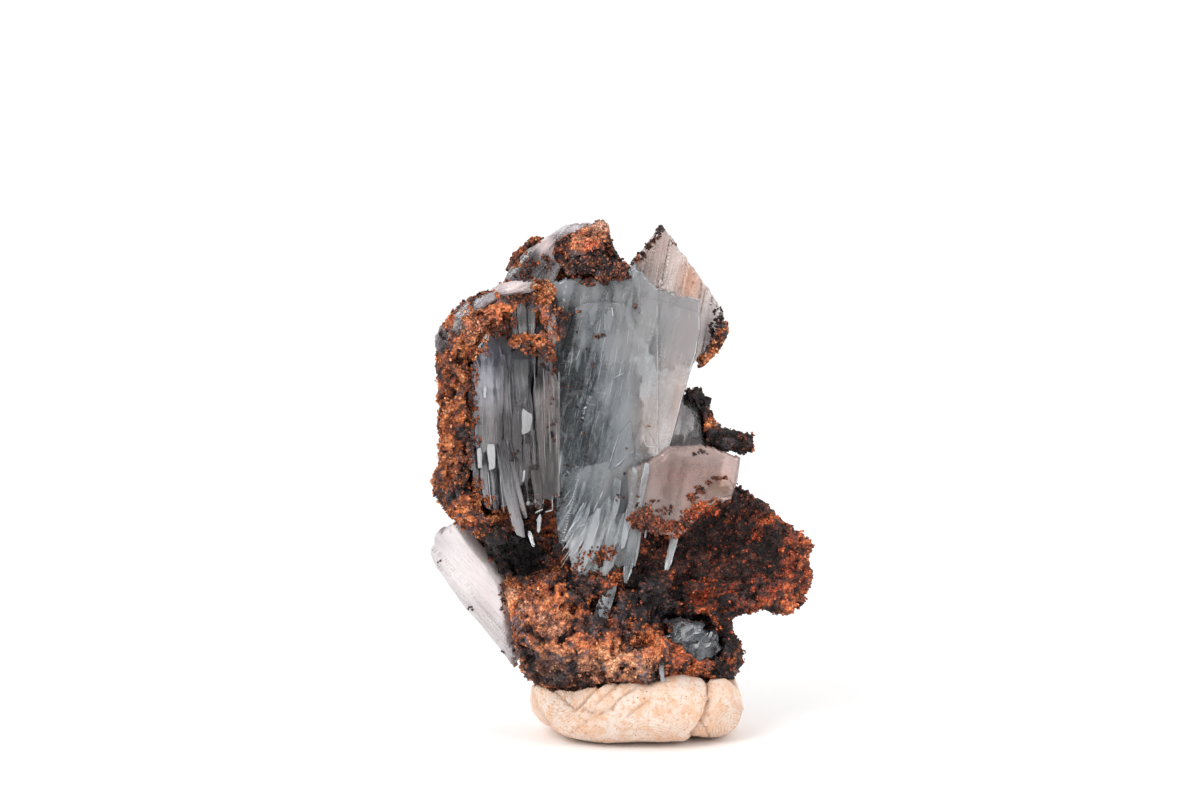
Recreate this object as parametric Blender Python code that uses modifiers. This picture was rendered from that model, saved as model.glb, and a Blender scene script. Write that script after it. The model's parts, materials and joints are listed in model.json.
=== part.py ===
"""Barite blades on a goethite matrix, held upright in a lump of display putty.

Metres, +Z up. The origin is the middle of the putty's flat foot. +X runs to the
right of the display side and +Y runs away from it.

The stone has no straight edges to measure from, so its pieces are laid out on a
front elevation sheet. A point on the sheet is (u, v): u runs right, v runs down,
in sheet units of 0.15 mm at the foot. The sheet is drawn in mild perspective from
0.5 m away and 8 degrees above the horizon, and front() turns a sheet point and a
depth y in millimetres into a point of the model.
"""

import math

import bmesh
import bpy
from mathutils import Matrix, Vector, noise

MM = 0.001

# ---- driving dimensions -------------------------------------------------
SHEET_UNIT = 0.15  # mm per sheet unit at the putty's foot
VIEW_DISTANCE = 500.0  # mm from the eye of the sheet to the foot
VIEW_PITCH = math.radians(8.0)  # the eye looks down by this
SHEET_CENTRE = (600.0, 400.0)
FOOT_ON_SHEET = (649.0, 733.0)  # where the origin lies on the sheet

GAP = 0.30  # mm left between neighbouring pieces
MATRIX_VOXEL = 1.15  # mm, the lumps of the matrix are merged on this grid
MATRIX_FACES = 3400  # target number of triangles for the matrix

# ---- the front elevation sheet ------------------------------------------
_cos, _sin = math.cos(VIEW_PITCH), math.sin(VIEW_PITCH)
FORWARD = Vector((0.0, _cos, -_sin))
UPWARD = Vector((0.0, _sin, _cos))
RIGHTWARD = Vector((1.0, 0.0, 0.0))
EYE = (
    -RIGHTWARD * (FOOT_ON_SHEET[0] - SHEET_CENTRE[0]) * SHEET_UNIT
    + UPWARD * (FOOT_ON_SHEET[1] - SHEET_CENTRE[1]) * SHEET_UNIT
    - FORWARD * VIEW_DISTANCE
)
FOCAL = VIEW_DISTANCE / SHEET_UNIT


def front_mm(u, v, y):
    """The point at sheet position (u, v) and depth y, in millimetres."""
    ray = (
        FORWARD
        + RIGHTWARD * ((u - SHEET_CENTRE[0]) / FOCAL)
        - UPWARD * ((v - SHEET_CENTRE[1]) / FOCAL)
    )
    return EYE + ray * ((y - EYE.y) / ray.y)


def front(u, v, y):
    return front_mm(u, v, y) * MM


# ---- scene ---------------------------------------------------------------
for old in list(bpy.data.objects):
    bpy.data.objects.remove(old, do_unlink=True)

PARTS = bpy.data.collections.new("barite_on_goethite")
CUTTERS = bpy.data.collections.new("cutters")
bpy.context.scene.collection.children.link(PARTS)
bpy.context.scene.collection.children.link(CUTTERS)


def material(name, colour, roughness, transmission, ior):
    made = bpy.data.materials.new(name)
    made.use_nodes = True
    shader = made.node_tree.nodes["Principled BSDF"]
    shader.inputs["Base Color"].default_value = (*colour, 1.0)
    shader.inputs["Roughness"].default_value = roughness
    shader.inputs["Metallic"].default_value = 0.0
    shader.inputs["Transmission Weight"].default_value = transmission
    shader.inputs["IOR"].default_value = ior
    made.diffuse_color = (*colour, 1.0)
    return made


def new_object(name, mesh, collection=PARTS):
    obj = bpy.data.objects.new(name, mesh)
    collection.objects.link(obj)
    return obj


def baked(obj, name, collection):
    """obj as its modifiers leave it, as a plain mesh object in world place. obj goes."""
    bpy.context.view_layer.update()
    graph = bpy.context.evaluated_depsgraph_get()
    mesh = bpy.data.meshes.new_from_object(obj.evaluated_get(graph), depsgraph=graph)
    mesh.transform(obj.matrix_world)
    bm = bmesh.new()
    bm.from_mesh(mesh)
    bmesh.ops.remove_doubles(bm, verts=bm.verts, dist=1e-6)
    bmesh.ops.dissolve_degenerate(bm, edges=bm.edges, dist=1e-6)
    bmesh.ops.recalc_face_normals(bm, faces=bm.faces)
    bm.to_mesh(mesh)
    bm.free()
    bpy.data.objects.remove(obj, do_unlink=True)
    made = new_object("tmp", mesh, collection)
    made.name = name
    return made


def largest_island(obj):
    """Keeps the biggest connected body of obj and drops crumbs that a cut left."""
    bm = bmesh.new()
    bm.from_mesh(obj.data)
    seen, islands = set(), []
    for start in bm.verts:
        if start in seen:
            continue
        stack, island = [start], []
        seen.add(start)
        while stack:
            v = stack.pop()
            island.append(v)
            for e in v.link_edges:
                w = e.other_vert(v)
                if w not in seen:
                    seen.add(w)
                    stack.append(w)
        islands.append(island)

    def size(island):
        lo = Vector((1e9,) * 3)
        hi = Vector((-1e9,) * 3)
        for v in island:
            lo = Vector(map(min, lo, v.co))
            hi = Vector(map(max, hi, v.co))
        return (hi - lo).length

    islands.sort(key=size)
    for island in islands[:-1]:
        bmesh.ops.delete(bm, geom=island, context="VERTS")
    bm.to_mesh(obj.data)
    bm.free()


def settled(obj):
    """Puts the points and faces of obj in order of place, and makes them triangles."""
    slant = Vector((0.577, 1.931, 3.217))
    bm = bmesh.new()
    bm.from_mesh(obj.data)
    bm.verts.sort(key=lambda v: v.co.dot(slant))
    bm.faces.sort(key=lambda f: f.calc_center_median().dot(slant))
    bmesh.ops.triangulate(bm, faces=bm.faces)
    bm.to_mesh(obj.data)
    bm.free()


def boolean(obj, other, operation, folded=False):
    modifier = obj.modifiers.new(operation.lower(), "BOOLEAN")
    modifier.operation = operation
    modifier.solver = "EXACT"
    modifier.use_self = folded
    modifier.object = other


def union(pieces, name, collection=PARTS):
    """Joins overlapping pieces into one solid."""
    base = pieces[0]
    SHAPES[name] = [p.data.copy() for p in pieces]
    for other in pieces[1:]:
        boolean(base, other, "UNION")
    made = baked(base, name, collection)
    for other in pieces[1:]:
        bpy.data.objects.remove(other, do_unlink=True)
    return made


# The plain shapes that each crystal was put together from, for its cutters.
SHAPES = {}


def grown(obj, by_mm):
    """Cutters: the shapes of obj, each pushed out by by_mm on every face."""
    cutters = []
    for shape in SHAPES.get(obj.name) or [obj.data]:
        mesh = shape.copy()
        bm = bmesh.new()
        bm.from_mesh(mesh)
        bmesh.ops.triangulate(bm, faces=bm.faces)
        bm.normal_update()
        moves = [
            v.normal * (by_mm * MM) * min(v.calc_shell_factor(), 1.9)
            for v in bm.verts
        ]
        for v, move in zip(bm.verts, moves):
            v.co += move
        bm.to_mesh(mesh)
        bm.free()
        cutter = new_object("cut_" + obj.name, mesh, CUTTERS)
        cutter.hide_render = True
        cutter.display_type = "WIRE"
        cutters.append(cutter)
    return cutters


def near(a, b, margin=0.002):
    def box(o):
        pts = [v.co for v in o.data.vertices]
        return [
            (min(p[i] for p in pts) - margin, max(p[i] for p in pts) + margin)
            for i in range(3)
        ]

    return all(lo1 < hi2 and lo2 < hi1 for (lo1, hi1), (lo2, hi2) in zip(box(a), box(b)))


def cut_clear(obj, neighbours, by_mm=GAP + 0.05):
    """Cuts obj back from each neighbour, so that the gap is left between them."""
    cutters = [c for n in neighbours if near(obj, n) for c in grown(n, by_mm)]
    name = obj.name
    for cutter in cutters:
        boolean(obj, cutter, "DIFFERENCE", folded=True)
    made = baked(obj, name, PARTS)
    for cutter in cutters:
        bpy.data.objects.remove(cutter, do_unlink=True)
    largest_island(made)
    settled(made)
    return made


# ---- crystals -------------------------------------------------------------
def blade(name, outline, depth, thick, chamfer=0.35):
    """A tabular crystal: a flat outline on the sheet, given thickness.

    depth is (y at the outline's middle, change of y per unit u, per unit v).
    """
    u0 = sum(u for u, v in outline) / len(outline)
    v0 = sum(v for u, v in outline) / len(outline)
    y0, du, dv = depth
    origin = front(u0, v0, y0)
    ex = (front(u0 + 10, v0, y0 + 10 * du) - origin).normalized()
    up = front(u0, v0 - 10, y0 - 10 * dv) - origin
    out = ex.cross(up).normalized()
    ey = out.cross(ex)
    # Each corner keeps its own sight line and meets the blade's plane on it.
    eye = EYE * MM
    corners = []
    for u, v in outline:
        ray = front(u, v, y0) - eye
        hit = eye + ray * ((origin - eye).dot(out) / ray.dot(out))
        corners.append(((hit - origin).dot(ex), (hit - origin).dot(ey)))
    curve = bpy.data.curves.new(name, "CURVE")
    curve.dimensions = "2D"
    curve.fill_mode = "BOTH"
    curve.extrude = thick * MM / 2
    spline = curve.splines.new("POLY")
    spline.points.add(len(corners) - 1)
    for point, (x, y) in zip(spline.points, corners):
        point.co = (x, y, 0.0, 1.0)
    spline.use_cyclic_u = True
    obj = new_object(name, curve)
    obj.matrix_world = Matrix(
        (
            (ex.x, ey.x, out.x, origin.x),
            (ex.y, ey.y, out.y, origin.y),
            (ex.z, ey.z, out.z, origin.z),
            (0, 0, 0, 1),
        )
    )
    solid = baked(obj, name, PARTS)
    if chamfer:
        bevel = solid.modifiers.new("edge", "BEVEL")
        bevel.width = chamfer * MM
        bevel.segments = 1
        bevel.limit_method = "ANGLE"
        bevel.angle_limit = math.radians(60)
        solid = baked(solid, name, PARTS)
    SHAPES[name] = [solid.data.copy()]
    return solid


def lath(root, tip, width, thick, turn=0.0, point=0.35, end=1.6, name="lath"):
    """A six-sided lath from root to tip, both (u, v, y), with a chisel end.

    width and thick are in mm, turn rolls it about its length in degrees, point is
    the share of the width left at the very end, and end the chisel's length in mm.
    """
    a, b = front(*root), front(*tip)
    along = b - a
    length = along.length
    along.normalize()
    side = along.cross(Vector((0, -1, 0))).normalized()
    face = side.cross(along)
    mesh = bpy.data.meshes.new(name)
    bm = bmesh.new()
    bmesh.ops.create_cone(
        bm, cap_ends=True, segments=6, radius1=0.5, radius2=0.47, depth=1.0
    )
    top = max(bm.faces, key=lambda f: f.calc_center_median().z)
    body = max(0.2, 1.0 - end * MM / length)
    for v in bm.verts:
        v.co.z += 0.5
    for v in top.verts:
        v.co.z = body
    cap = bmesh.ops.extrude_face_region(bm, geom=[top])
    for v in [g for g in cap["geom"] if isinstance(g, bmesh.types.BMVert)]:
        v.co.z = 1.0
        v.co.x *= point
        v.co.y *= 0.55
    bmesh.ops.delete(bm, geom=[top], context="FACES_ONLY")
    roll = Matrix.Rotation(math.radians(turn), 3, "Z")
    for v in bm.verts:
        p = roll @ Vector((v.co.x * width * MM, v.co.y * thick * MM, 0))
        v.co = a + side * p.x + face * p.y + along * (v.co.z * length)
    bmesh.ops.recalc_face_normals(bm, faces=bm.faces)
    bm.to_mesh(mesh)
    bm.free()
    SHAPES[name] = [mesh.copy()]
    return new_object(name, mesh)


# Outlines on the sheet, clockwise from the upper left.
MAIN_BLADE = [
    (549, 283), (566, 272), (590, 272), (612, 276), (627, 268), (636, 263),
    (645, 274), (660, 287), (678, 293), (700, 298), (700, 330), (696, 353),
    (690, 372), (682, 400), (676, 425), (669, 450), (655, 464), (637, 468),
    (622, 480), (608, 490), (588, 496), (562, 500), (551, 470), (549, 380),
]  # fmt: skip
BACK_BLADE = [
    (632, 262), (645, 246), (661, 224), (671, 236), (689, 261), (710, 290),
    (723, 312), (724, 326), (716, 346), (704, 360), (694, 366), (660, 372),
    (632, 330),
]  # fmt: skip
PINK_BLADE = [
    (628, 468), (650, 460), (668, 446), (700, 444), (716, 448), (740, 458),
    (737, 480), (730, 500), (713, 507), (695, 522), (678, 538), (662, 541),
    (645, 531), (628, 524),
]  # fmt: skip
TOP_PLATE = [
    (501, 286), (509, 270), (527, 250), (548, 236), (567, 224), (590, 222),
    (597, 230), (578, 246), (563, 264), (553, 284), (530, 294), (512, 292),
]  # fmt: skip
SIDE_PLATE = [
    (432, 546), (437, 532), (448, 524), (460, 520), (473, 540), (491, 562),
    (504, 583), (510, 606), (514, 634), (521, 655), (517, 667), (500, 642),
    (484, 622), (469, 606), (450, 578), (436, 558),
]  # fmt: skip
CORNER_CRYSTAL = [
    (674, 446), (678, 424), (687, 403), (694, 400), (699, 412), (701, 432),
    (703, 448), (690, 456),
]  # fmt: skip
FOOT_CRYSTAL = [
    (664, 622), (682, 616), (700, 622), (717, 630), (722, 646), (708, 660),
    (686, 664), (668, 655),
]  # fmt: skip

main_blade = blade("barite_main_blade", MAIN_BLADE, (-0.6, 0.012, -0.010), 3.4)
back_blade = blade("barite_back_blade", BACK_BLADE, (4.4, 0.010, -0.006), 2.6)
pink_blade = blade("barite_pink_blade", PINK_BLADE, (-3.6, 0.020, -0.012), 3.0)
top_plate = blade("barite_top_plate", TOP_PLATE, (1.0, 0.010, -0.030), 2.2)
side_plate = blade("barite_side_plate", SIDE_PLATE, (1.5, -0.075, 0.030), 3.4)
corner_crystal = blade(
    "barite_corner_crystal", CORNER_CRYSTAL, (0.6, 0.0, -0.01), 2.4
)
foot_crystal = blade("barite_foot_crystal", FOOT_CRYSTAL, (-3.2, 0.02, 0.0), 4.0)

# The left fan: laths that hang side by side and close together downwards.
FAN = [
    # root (u, v, y), tip (u, v, y), width, thick, turn
    ((466, 330, -1.0), (471, 498, -1.0), 2.8, 4.6, 8),
    ((473, 308, -2.0), (480, 518, -2.2), 3.2, 5.2, -6),
    ((482, 298, -2.6), (490, 522, -3.2), 3.2, 5.6, 10),
    ((493, 296, -2.8), (511, 538, -4.2), 3.4, 5.2, -8),
    ((506, 296, -2.6), (526, 534, -3.4), 3.4, 5.2, 6),
    ((520, 298, -2.4), (533, 512, -2.8), 3.4, 5.0, -10),
    ((534, 296, -2.2), (543, 510, -3.0), 3.2, 5.0, 8),
    ((548, 290, -1.9), (552, 500, -2.6), 3.6, 4.8, -4),
]
left_fan = union(
    [
        lath(r, t, w, k, turn, point=0.5, end=2.2, name=f"fan_{i}")
        for i, (r, t, w, k, turn) in enumerate(FAN)
    ],
    "barite_left_fan",
)

# The lower spray: laths that fan out downwards from under the main blade.
SPRAY = [
    ((606, 486, -4.2), (566, 548, -5.6), 3.0, 2.6, 10),
    ((612, 482, -4.6), (578, 572, -6.4), 3.0, 2.8, -8),
    ((618, 478, -4.6), (592, 574, -6.8), 3.0, 3.0, 6),
    ((626, 474, -4.4), (608, 562, -6.2), 3.0, 3.0, -6),
    ((633, 474, -4.2), (622, 586, -5.6), 2.9, 2.8, 8),
    ((640, 480, -3.8), (631, 580, -4.6), 2.6, 2.6, -10),
]
lower_spray = union(
    [
        lath(r, t, w, k, turn, point=0.4, end=2.0, name=f"spray_{i}")
        for i, (r, t, w, k, turn) in enumerate(SPRAY)
    ],
    "barite_lower_spray",
)
hanging_lath = lath(
    (679, 522, -3.4), (667, 568, -4.4), 2.0, 1.8, 12, 0.3, 1.6, "barite_hanging_lath"
)
cavity_lath = lath(
    (612, 580, -4.6), (598, 628, -6.6), 2.2, 2.0, 0, 0.3, 1.6, "barite_cavity_lath"
)

# Front pieces keep their shape, and what lies behind is cut back from them.
lower_spray = cut_clear(lower_spray, [left_fan])
main_blade = cut_clear(main_blade, [left_fan, lower_spray])
pink_blade = cut_clear(pink_blade, [main_blade, lower_spray])
hanging_lath = cut_clear(hanging_lath, [pink_blade, lower_spray])
cavity_lath = cut_clear(cavity_lath, [lower_spray])
top_plate = cut_clear(top_plate, [main_blade, left_fan])
back_blade = cut_clear(back_blade, [main_blade, top_plate])
corner_crystal = cut_clear(corner_crystal, [main_blade, pink_blade])
CRYSTALS = [
    main_blade, left_fan, back_blade, top_plate, pink_blade, corner_crystal,
    lower_spray, hanging_lath, side_plate, foot_crystal, cavity_lath,
]  # fmt: skip


# ---- the goethite matrix ----------------------------------------------------
def lump(bm, at, radii, turn=0.0):
    """A rounded lump of the crust: centre (u, v, y), radii (x, y, z) in mm."""
    made = bmesh.ops.create_icosphere(bm, subdivisions=3, radius=1.0)
    spin = Matrix.Rotation(math.radians(turn), 3, "Y")
    centre = front(*at)
    for v in made["verts"]:
        p = Vector(v.co[i] * radii[i] * MM for i in range(3))
        v.co = centre + spin @ p


# centre (u, v, y), radii (x, y, z) mm, turn about Y
LUMPS = [
    # base block
    ((560, 640, 0.0), (8.2, 10.0, 7.4), 20),
    ((548, 616, 0.5), (6.6, 8.4, 6.6), 30),
    ((598, 652, -0.5), (9.4, 11.0, 5.8), 0),
    ((640, 652, -0.5), (8.6, 10.6, 5.4), 0),
    ((690, 656, 2.2), (7.4, 8.6, 4.4), 0),
    ((712, 640, 1.4), (5.2, 7.2, 5.0), 0),
    ((722, 662, 0.2), (3.2, 5.6, 3.2), 0),
    ((552, 676, -1.0), (4.6, 6.4, 3.0), 15),
    ((577, 684, -2.2), (2.6, 4.2, 3.2), 0),
    ((600, 612, 1.5), (9.4, 8.6, 5.8), 0),
    ((640, 604, 3.2), (9.4, 7.4, 5.8), 0),
    ((566, 592, 0.0), (6.8, 8.2, 4.6), 15),
    ((594, 580, -1.2), (5.0, 6.2, 3.6), 0),
    ((648, 588, -1.0), (4.0, 5.2, 3.2), 0),
    ((522, 588, 1.5), (3.6, 6.4, 4.6), 35),
    ((534, 640, -0.6), (3.8, 6.8, 5.4), 30),
    ((605, 628, -5.0), (5.6, 4.8, 3.2), 0),
    ((640, 632, -4.4), (4.0, 4.4, 2.6), 0),
    # back wall
    ((540, 560, 4.6), (9.0, 4.8, 7.0), 0),
    ((580, 540, 5.0), (9.6, 4.6, 8.0), 0),
    ((620, 560, 4.8), (8.6, 4.8, 8.0), 0),
    ((520, 500, 5.0), (9.2, 4.4, 9.0), 0),
    ((570, 480, 5.2), (10.0, 4.2, 9.6), 0),
    ((608, 470, 5.6), (6.6, 3.8, 9.4), 0),
    ((500, 440, 5.0), (8.4, 4.4, 10.0), 0),
    ((550, 420, 5.2), (9.6, 4.0, 9.6), 0),
    ((600, 410, 5.6), (6.6, 3.4, 9.4), 0),
    ((492, 372, 5.0), (7.2, 4.2, 9.6), 0),
    ((540, 360, 5.0), (9.6, 3.8, 9.0), 0),
    ((592, 344, 5.4), (6.6, 3.2, 8.4), 0),
    ((496, 324, 4.4), (6.4, 4.2, 5.2), 0),
    ((540, 312, 5.0), (8.0, 3.8, 5.6), 0),
    ((588, 300, 5.0), (6.2, 3.2, 5.4), 0),
    # left rim, wrapping the fan's edge
    ((457, 334, 0.5), (3.2, 5.2, 4.0), -20),
    ((451, 350, -0.6), (2.3, 5.6, 3.6), 0),
    ((453, 374, -0.8), (2.4, 5.8, 3.4), 0),
    ((455, 396, -1.4), (2.8, 5.4, 3.4), 0),
    ((451, 420, -1.2), (2.5, 5.6, 3.6), 0),
    ((452, 444, -1.4), (2.5, 5.8, 3.4), 0),
    ((449, 468, -0.8), (2.3, 5.4, 3.2), 0),
    ((446, 486, 0.4), (2.3, 5.0, 2.6), -20),
    ((458, 496, -1.2), (3.2, 5.4, 3.0), -40),
    ((471, 509, -2.6), (3.2, 4.8, 3.0), -35),
    ((487, 524, -3.4), (3.0, 4.0, 2.8), -25),
    ((500, 538, -3.0), (2.8, 4.4, 2.4), -25),
    ((468, 470, 3.6), (5.0, 4.0, 9.0), 0),
    ((463, 400, 3.8), (4.4, 4.0, 10.0), 0),
    ((470, 340, 3.2), (4.4, 4.2, 6.4), 0),
    ((505, 552, 2.6), (4.4, 5.6, 4.0), -30),
    # crust over the fan's head
    ((470, 312, -2.6), (3.6, 2.8, 2.2), -40),
    ((492, 300, -3.2), (4.0, 2.8, 2.2), -15),
    ((516, 300, -3.0), (3.6, 2.8, 2.2), 0),
    ((542, 300, -3.4), (3.0, 2.6, 3.0), 0),
    ((553, 320, -3.4), (2.0, 2.6, 3.6), 0),
    ((468, 340, -3.6), (2.8, 1.6, 3.6), 20),
    # top knob
    ((545, 246, 4.4), (4.0, 4.2, 3.0), 0),
    ((530, 264, 4.6), (4.4, 4.0, 3.8), 0),
    ((590, 238, 1.0), (4.2, 4.6, 3.2), 0),
    ((602, 230, 1.6), (2.4, 3.4, 2.8), 0),
    ((578, 254, 1.6), (4.6, 4.8, 2.8), 0),
    ((600, 258, 1.8), (3.8, 4.4, 2.8), 0),
    ((560, 272, 4.6), (5.6, 3.6, 3.6), 0),
    ((620, 266, 2.2), (3.2, 3.6, 1.4), -10),
    ((598, 280, 4.4), (5.2, 3.4, 3.6), 0),
    # right ledge, behind and above the pink blade
    ((694, 398, 2.4), (1.9, 3.2, 2.2), 0),
    ((702, 414, 2.4), (1.8, 3.2, 2.4), -25),
    ((708, 434, 1.6), (2.2, 3.4, 2.2), -20),
    ((724, 440, 0.4), (3.0, 3.4, 1.6), 8),
    ((740, 444, 0.2), (2.2, 3.0, 2.0), 0),
    ((750, 444, 0.2), (1.2, 2.2, 1.3), 0),
    ((700, 456, 3.8), (3.8, 3.0, 4.2), 0),
    ((684, 480, 4.4), (5.4, 3.4, 5.4), 0),
    ((668, 512, 5.0), (6.4, 4.2, 6.0), 0),
    ((640, 520, 5.2), (6.4, 4.2, 7.4), 0),
    # crusted rim of the wing
    ((802, 546, 4.2), (1.6, 3.0, 2.2), 30),
    ((800, 572, 2.6), (1.8, 3.2, 2.6), 0),
    ((793, 594, 1.2), (2.2, 3.4, 2.4), -30),
    ((775, 606, 0.6), (2.4, 3.6, 1.7), 0),
    ((752, 604, 0.6), (2.8, 3.6, 1.7), 0),
    ((770, 584, -0.2), (3.6, 2.4, 2.4), 0),
    ((735, 600, 0.2), (3.2, 3.8, 2.6), 0),
]

# The right wing: a thick plate that leans back, with a lumpy lower rim.
WING = [
    (640, 560), (668, 520), (700, 500), (733, 486), (745, 490), (755, 498),
    (773, 506), (777, 518), (790, 525), (803, 532), (812, 545), (807, 561),
    (811, 582), (804, 594), (796, 605), (778, 613), (764, 612), (750, 612),
    (735, 610), (712, 622), (680, 622), (645, 606),
]  # fmt: skip


def matrix_solid():
    bm = bmesh.new()
    for at, radii, turn in LUMPS:
        lump(bm, at, radii, turn)
    mesh = bpy.data.meshes.new("lumps")
    bm.to_mesh(mesh)
    bm.free()
    wing = blade("wing", WING, (3.4, 0.004, -0.052), 5.6, chamfer=0.9)
    bm = bmesh.new()
    bm.from_mesh(mesh)
    bm.from_mesh(wing.data)
    bm.to_mesh(mesh)
    bm.free()
    bpy.data.objects.remove(wing, do_unlink=True)
    obj = new_object("goethite_matrix", mesh)
    merge = obj.modifiers.new("merge", "REMESH")
    merge.mode = "VOXEL"
    merge.voxel_size = MATRIX_VOXEL * MM
    obj = baked(obj, "goethite_matrix", PARTS)
    # A knobbly surface: two sizes of bump along the normals.
    bm = bmesh.new()
    bm.from_mesh(obj.data)
    bm.normal_update()
    moves = []
    for v in bm.verts:
        p = v.co / MM
        coarse = noise.noise(p * 0.22 + Vector((3.1, 7.7, 1.3)))
        fine = noise.noise(p * 0.55 + Vector((11.0, 2.0, 5.0)))
        moves.append(v.normal * MM * (0.75 * coarse + 0.45 * fine))
    for v, move in zip(bm.verts, moves):
        v.co += move
    bmesh.ops.triangulate(bm, faces=bm.faces)
    count = len(bm.faces)
    bm.to_mesh(obj.data)
    bm.free()
    thin = obj.modifiers.new("thin", "DECIMATE")
    thin.ratio = min(1.0, MATRIX_FACES / count)
    return baked(obj, "goethite_matrix", PARTS)


goethite_matrix = matrix_solid()
goethite_matrix = cut_clear(goethite_matrix, CRYSTALS)

# A scrap of crust on the edge of the back blade, with nothing else holding it.
bm = bmesh.new()
for at, radii, turn in [
    ((722, 330, 3.6), (1.3, 2.6, 2.2), 15),
    ((714, 344, 3.6), (1.8, 2.6, 2.0), 40),
    ((702, 358, 3.4), (1.9, 2.4, 1.5), 30),
]:
    lump(bm, at, radii, turn)
mesh = bpy.data.meshes.new("rim")
bm.to_mesh(mesh)
bm.free()
rim_crust = new_object("goethite_rim_crust", mesh)
merge = rim_crust.modifiers.new("merge", "REMESH")
merge.mode = "VOXEL"
merge.voxel_size = 0.75 * MM
rim_crust = baked(rim_crust, "goethite_rim_crust", PARTS)
rim_crust = cut_clear(rim_crust, [back_blade, main_blade])


# ---- the putty ---------------------------------------------------------------
def putty_solid():
    """Two folds of putty pressed together, with the foot pressed flat."""
    bm = bmesh.new()
    # centre (x, y, z) mm, radii mm
    for centre, radii in [
        ((-4.2, 0.0, 4.7), (12.4, 11.8, 5.2)),
        ((-9.6, 0.4, 5.2), (8.4, 9.8, 4.3)),
        ((1.6, -1.0, 4.8), (8.8, 11.0, 5.1)),
        ((9.2, 0.6, 5.0), (5.0, 9.2, 5.3)),
    ]:
        made = bmesh.ops.create_icosphere(bm, subdivisions=4, radius=1.0)
        for v in made["verts"]:
            # squarer than a ball, as pressed putty is
            p = Vector(v.co)
            p = Vector(math.copysign(abs(c) ** 0.82, c) for c in p)
            v.co = Vector((centre[i] + p[i] * radii[i]) * MM for i in range(3))
    mesh = bpy.data.meshes.new("putty")
    bm.to_mesh(mesh)
    bm.free()
    obj = new_object("display_putty", mesh)
    merge = obj.modifiers.new("merge", "REMESH")
    merge.mode = "VOXEL"
    merge.voxel_size = 0.9 * MM
    smooth = obj.modifiers.new("soften", "SMOOTH")
    smooth.factor = 0.5
    smooth.iterations = 6
    thin = obj.modifiers.new("thin", "DECIMATE")
    thin.ratio = 0.22
    obj = baked(obj, "display_putty", PARTS)
    # The foot is cut flat at the table.
    bm = bmesh.new()
    bmesh.ops.create_cube(bm, size=1.0)
    for v in bm.verts:
        v.co = Vector((v.co.x * 0.08, v.co.y * 0.08, (v.co.z - 0.5) * 0.02))
    slab_mesh = bpy.data.meshes.new("slab")
    bm.to_mesh(slab_mesh)
    bm.free()
    slab = new_object("slab", slab_mesh, CUTTERS)
    slab.hide_render = True
    slab.display_type = "WIRE"
    boolean(obj, slab, "DIFFERENCE")
    obj = baked(obj, "display_putty", PARTS)
    bpy.data.objects.remove(slab, do_unlink=True)
    return obj


display_putty = putty_solid()
display_putty = cut_clear(display_putty, [goethite_matrix, foot_crystal, side_plate])

# ---- finish --------------------------------------------------------------------
# piece: colour, roughness, transmission, index of refraction
FINISH = {
    "barite_main_blade": ((0.44, 0.52, 0.56), 0.20, 0.70, 1.636),
    "barite_left_fan": ((0.40, 0.46, 0.52), 0.20, 0.65, 1.636),
    "barite_back_blade": ((0.68, 0.60, 0.58), 0.22, 0.65, 1.636),
    "barite_top_plate": ((0.52, 0.53, 0.56), 0.28, 0.50, 1.636),
    "barite_pink_blade": ((0.66, 0.56, 0.54), 0.25, 0.55, 1.636),
    "barite_corner_crystal": ((0.48, 0.46, 0.47), 0.22, 0.60, 1.636),
    "barite_lower_spray": ((0.50, 0.56, 0.60), 0.22, 0.65, 1.636),
    "barite_hanging_lath": ((0.62, 0.60, 0.60), 0.22, 0.65, 1.636),
    "barite_side_plate": ((0.86, 0.83, 0.82), 0.35, 0.35, 1.636),
    "barite_foot_crystal": ((0.36, 0.42, 0.46), 0.24, 0.55, 1.636),
    "barite_cavity_lath": ((0.42, 0.46, 0.50), 0.24, 0.55, 1.636),
    "goethite_matrix": ((0.25, 0.09, 0.04), 0.85, 0.0, 1.5),
    "goethite_rim_crust": ((0.34, 0.12, 0.05), 0.85, 0.0, 1.5),
    "display_putty": ((0.86, 0.72, 0.58), 0.60, 0.0, 1.5),
}
for piece_name, (colour, roughness, transmission, ior) in FINISH.items():
    piece = bpy.data.objects[piece_name]
    piece.data.materials.clear()
    piece.data.materials.append(
        material(piece_name, colour, roughness, transmission, ior)
    )
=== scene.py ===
import json
import math

import bmesh
import bpy
import numpy as np
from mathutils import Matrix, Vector, geometry
from mathutils.bvhtree import BVHTree
from mathutils.kdtree import KDTree

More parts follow.
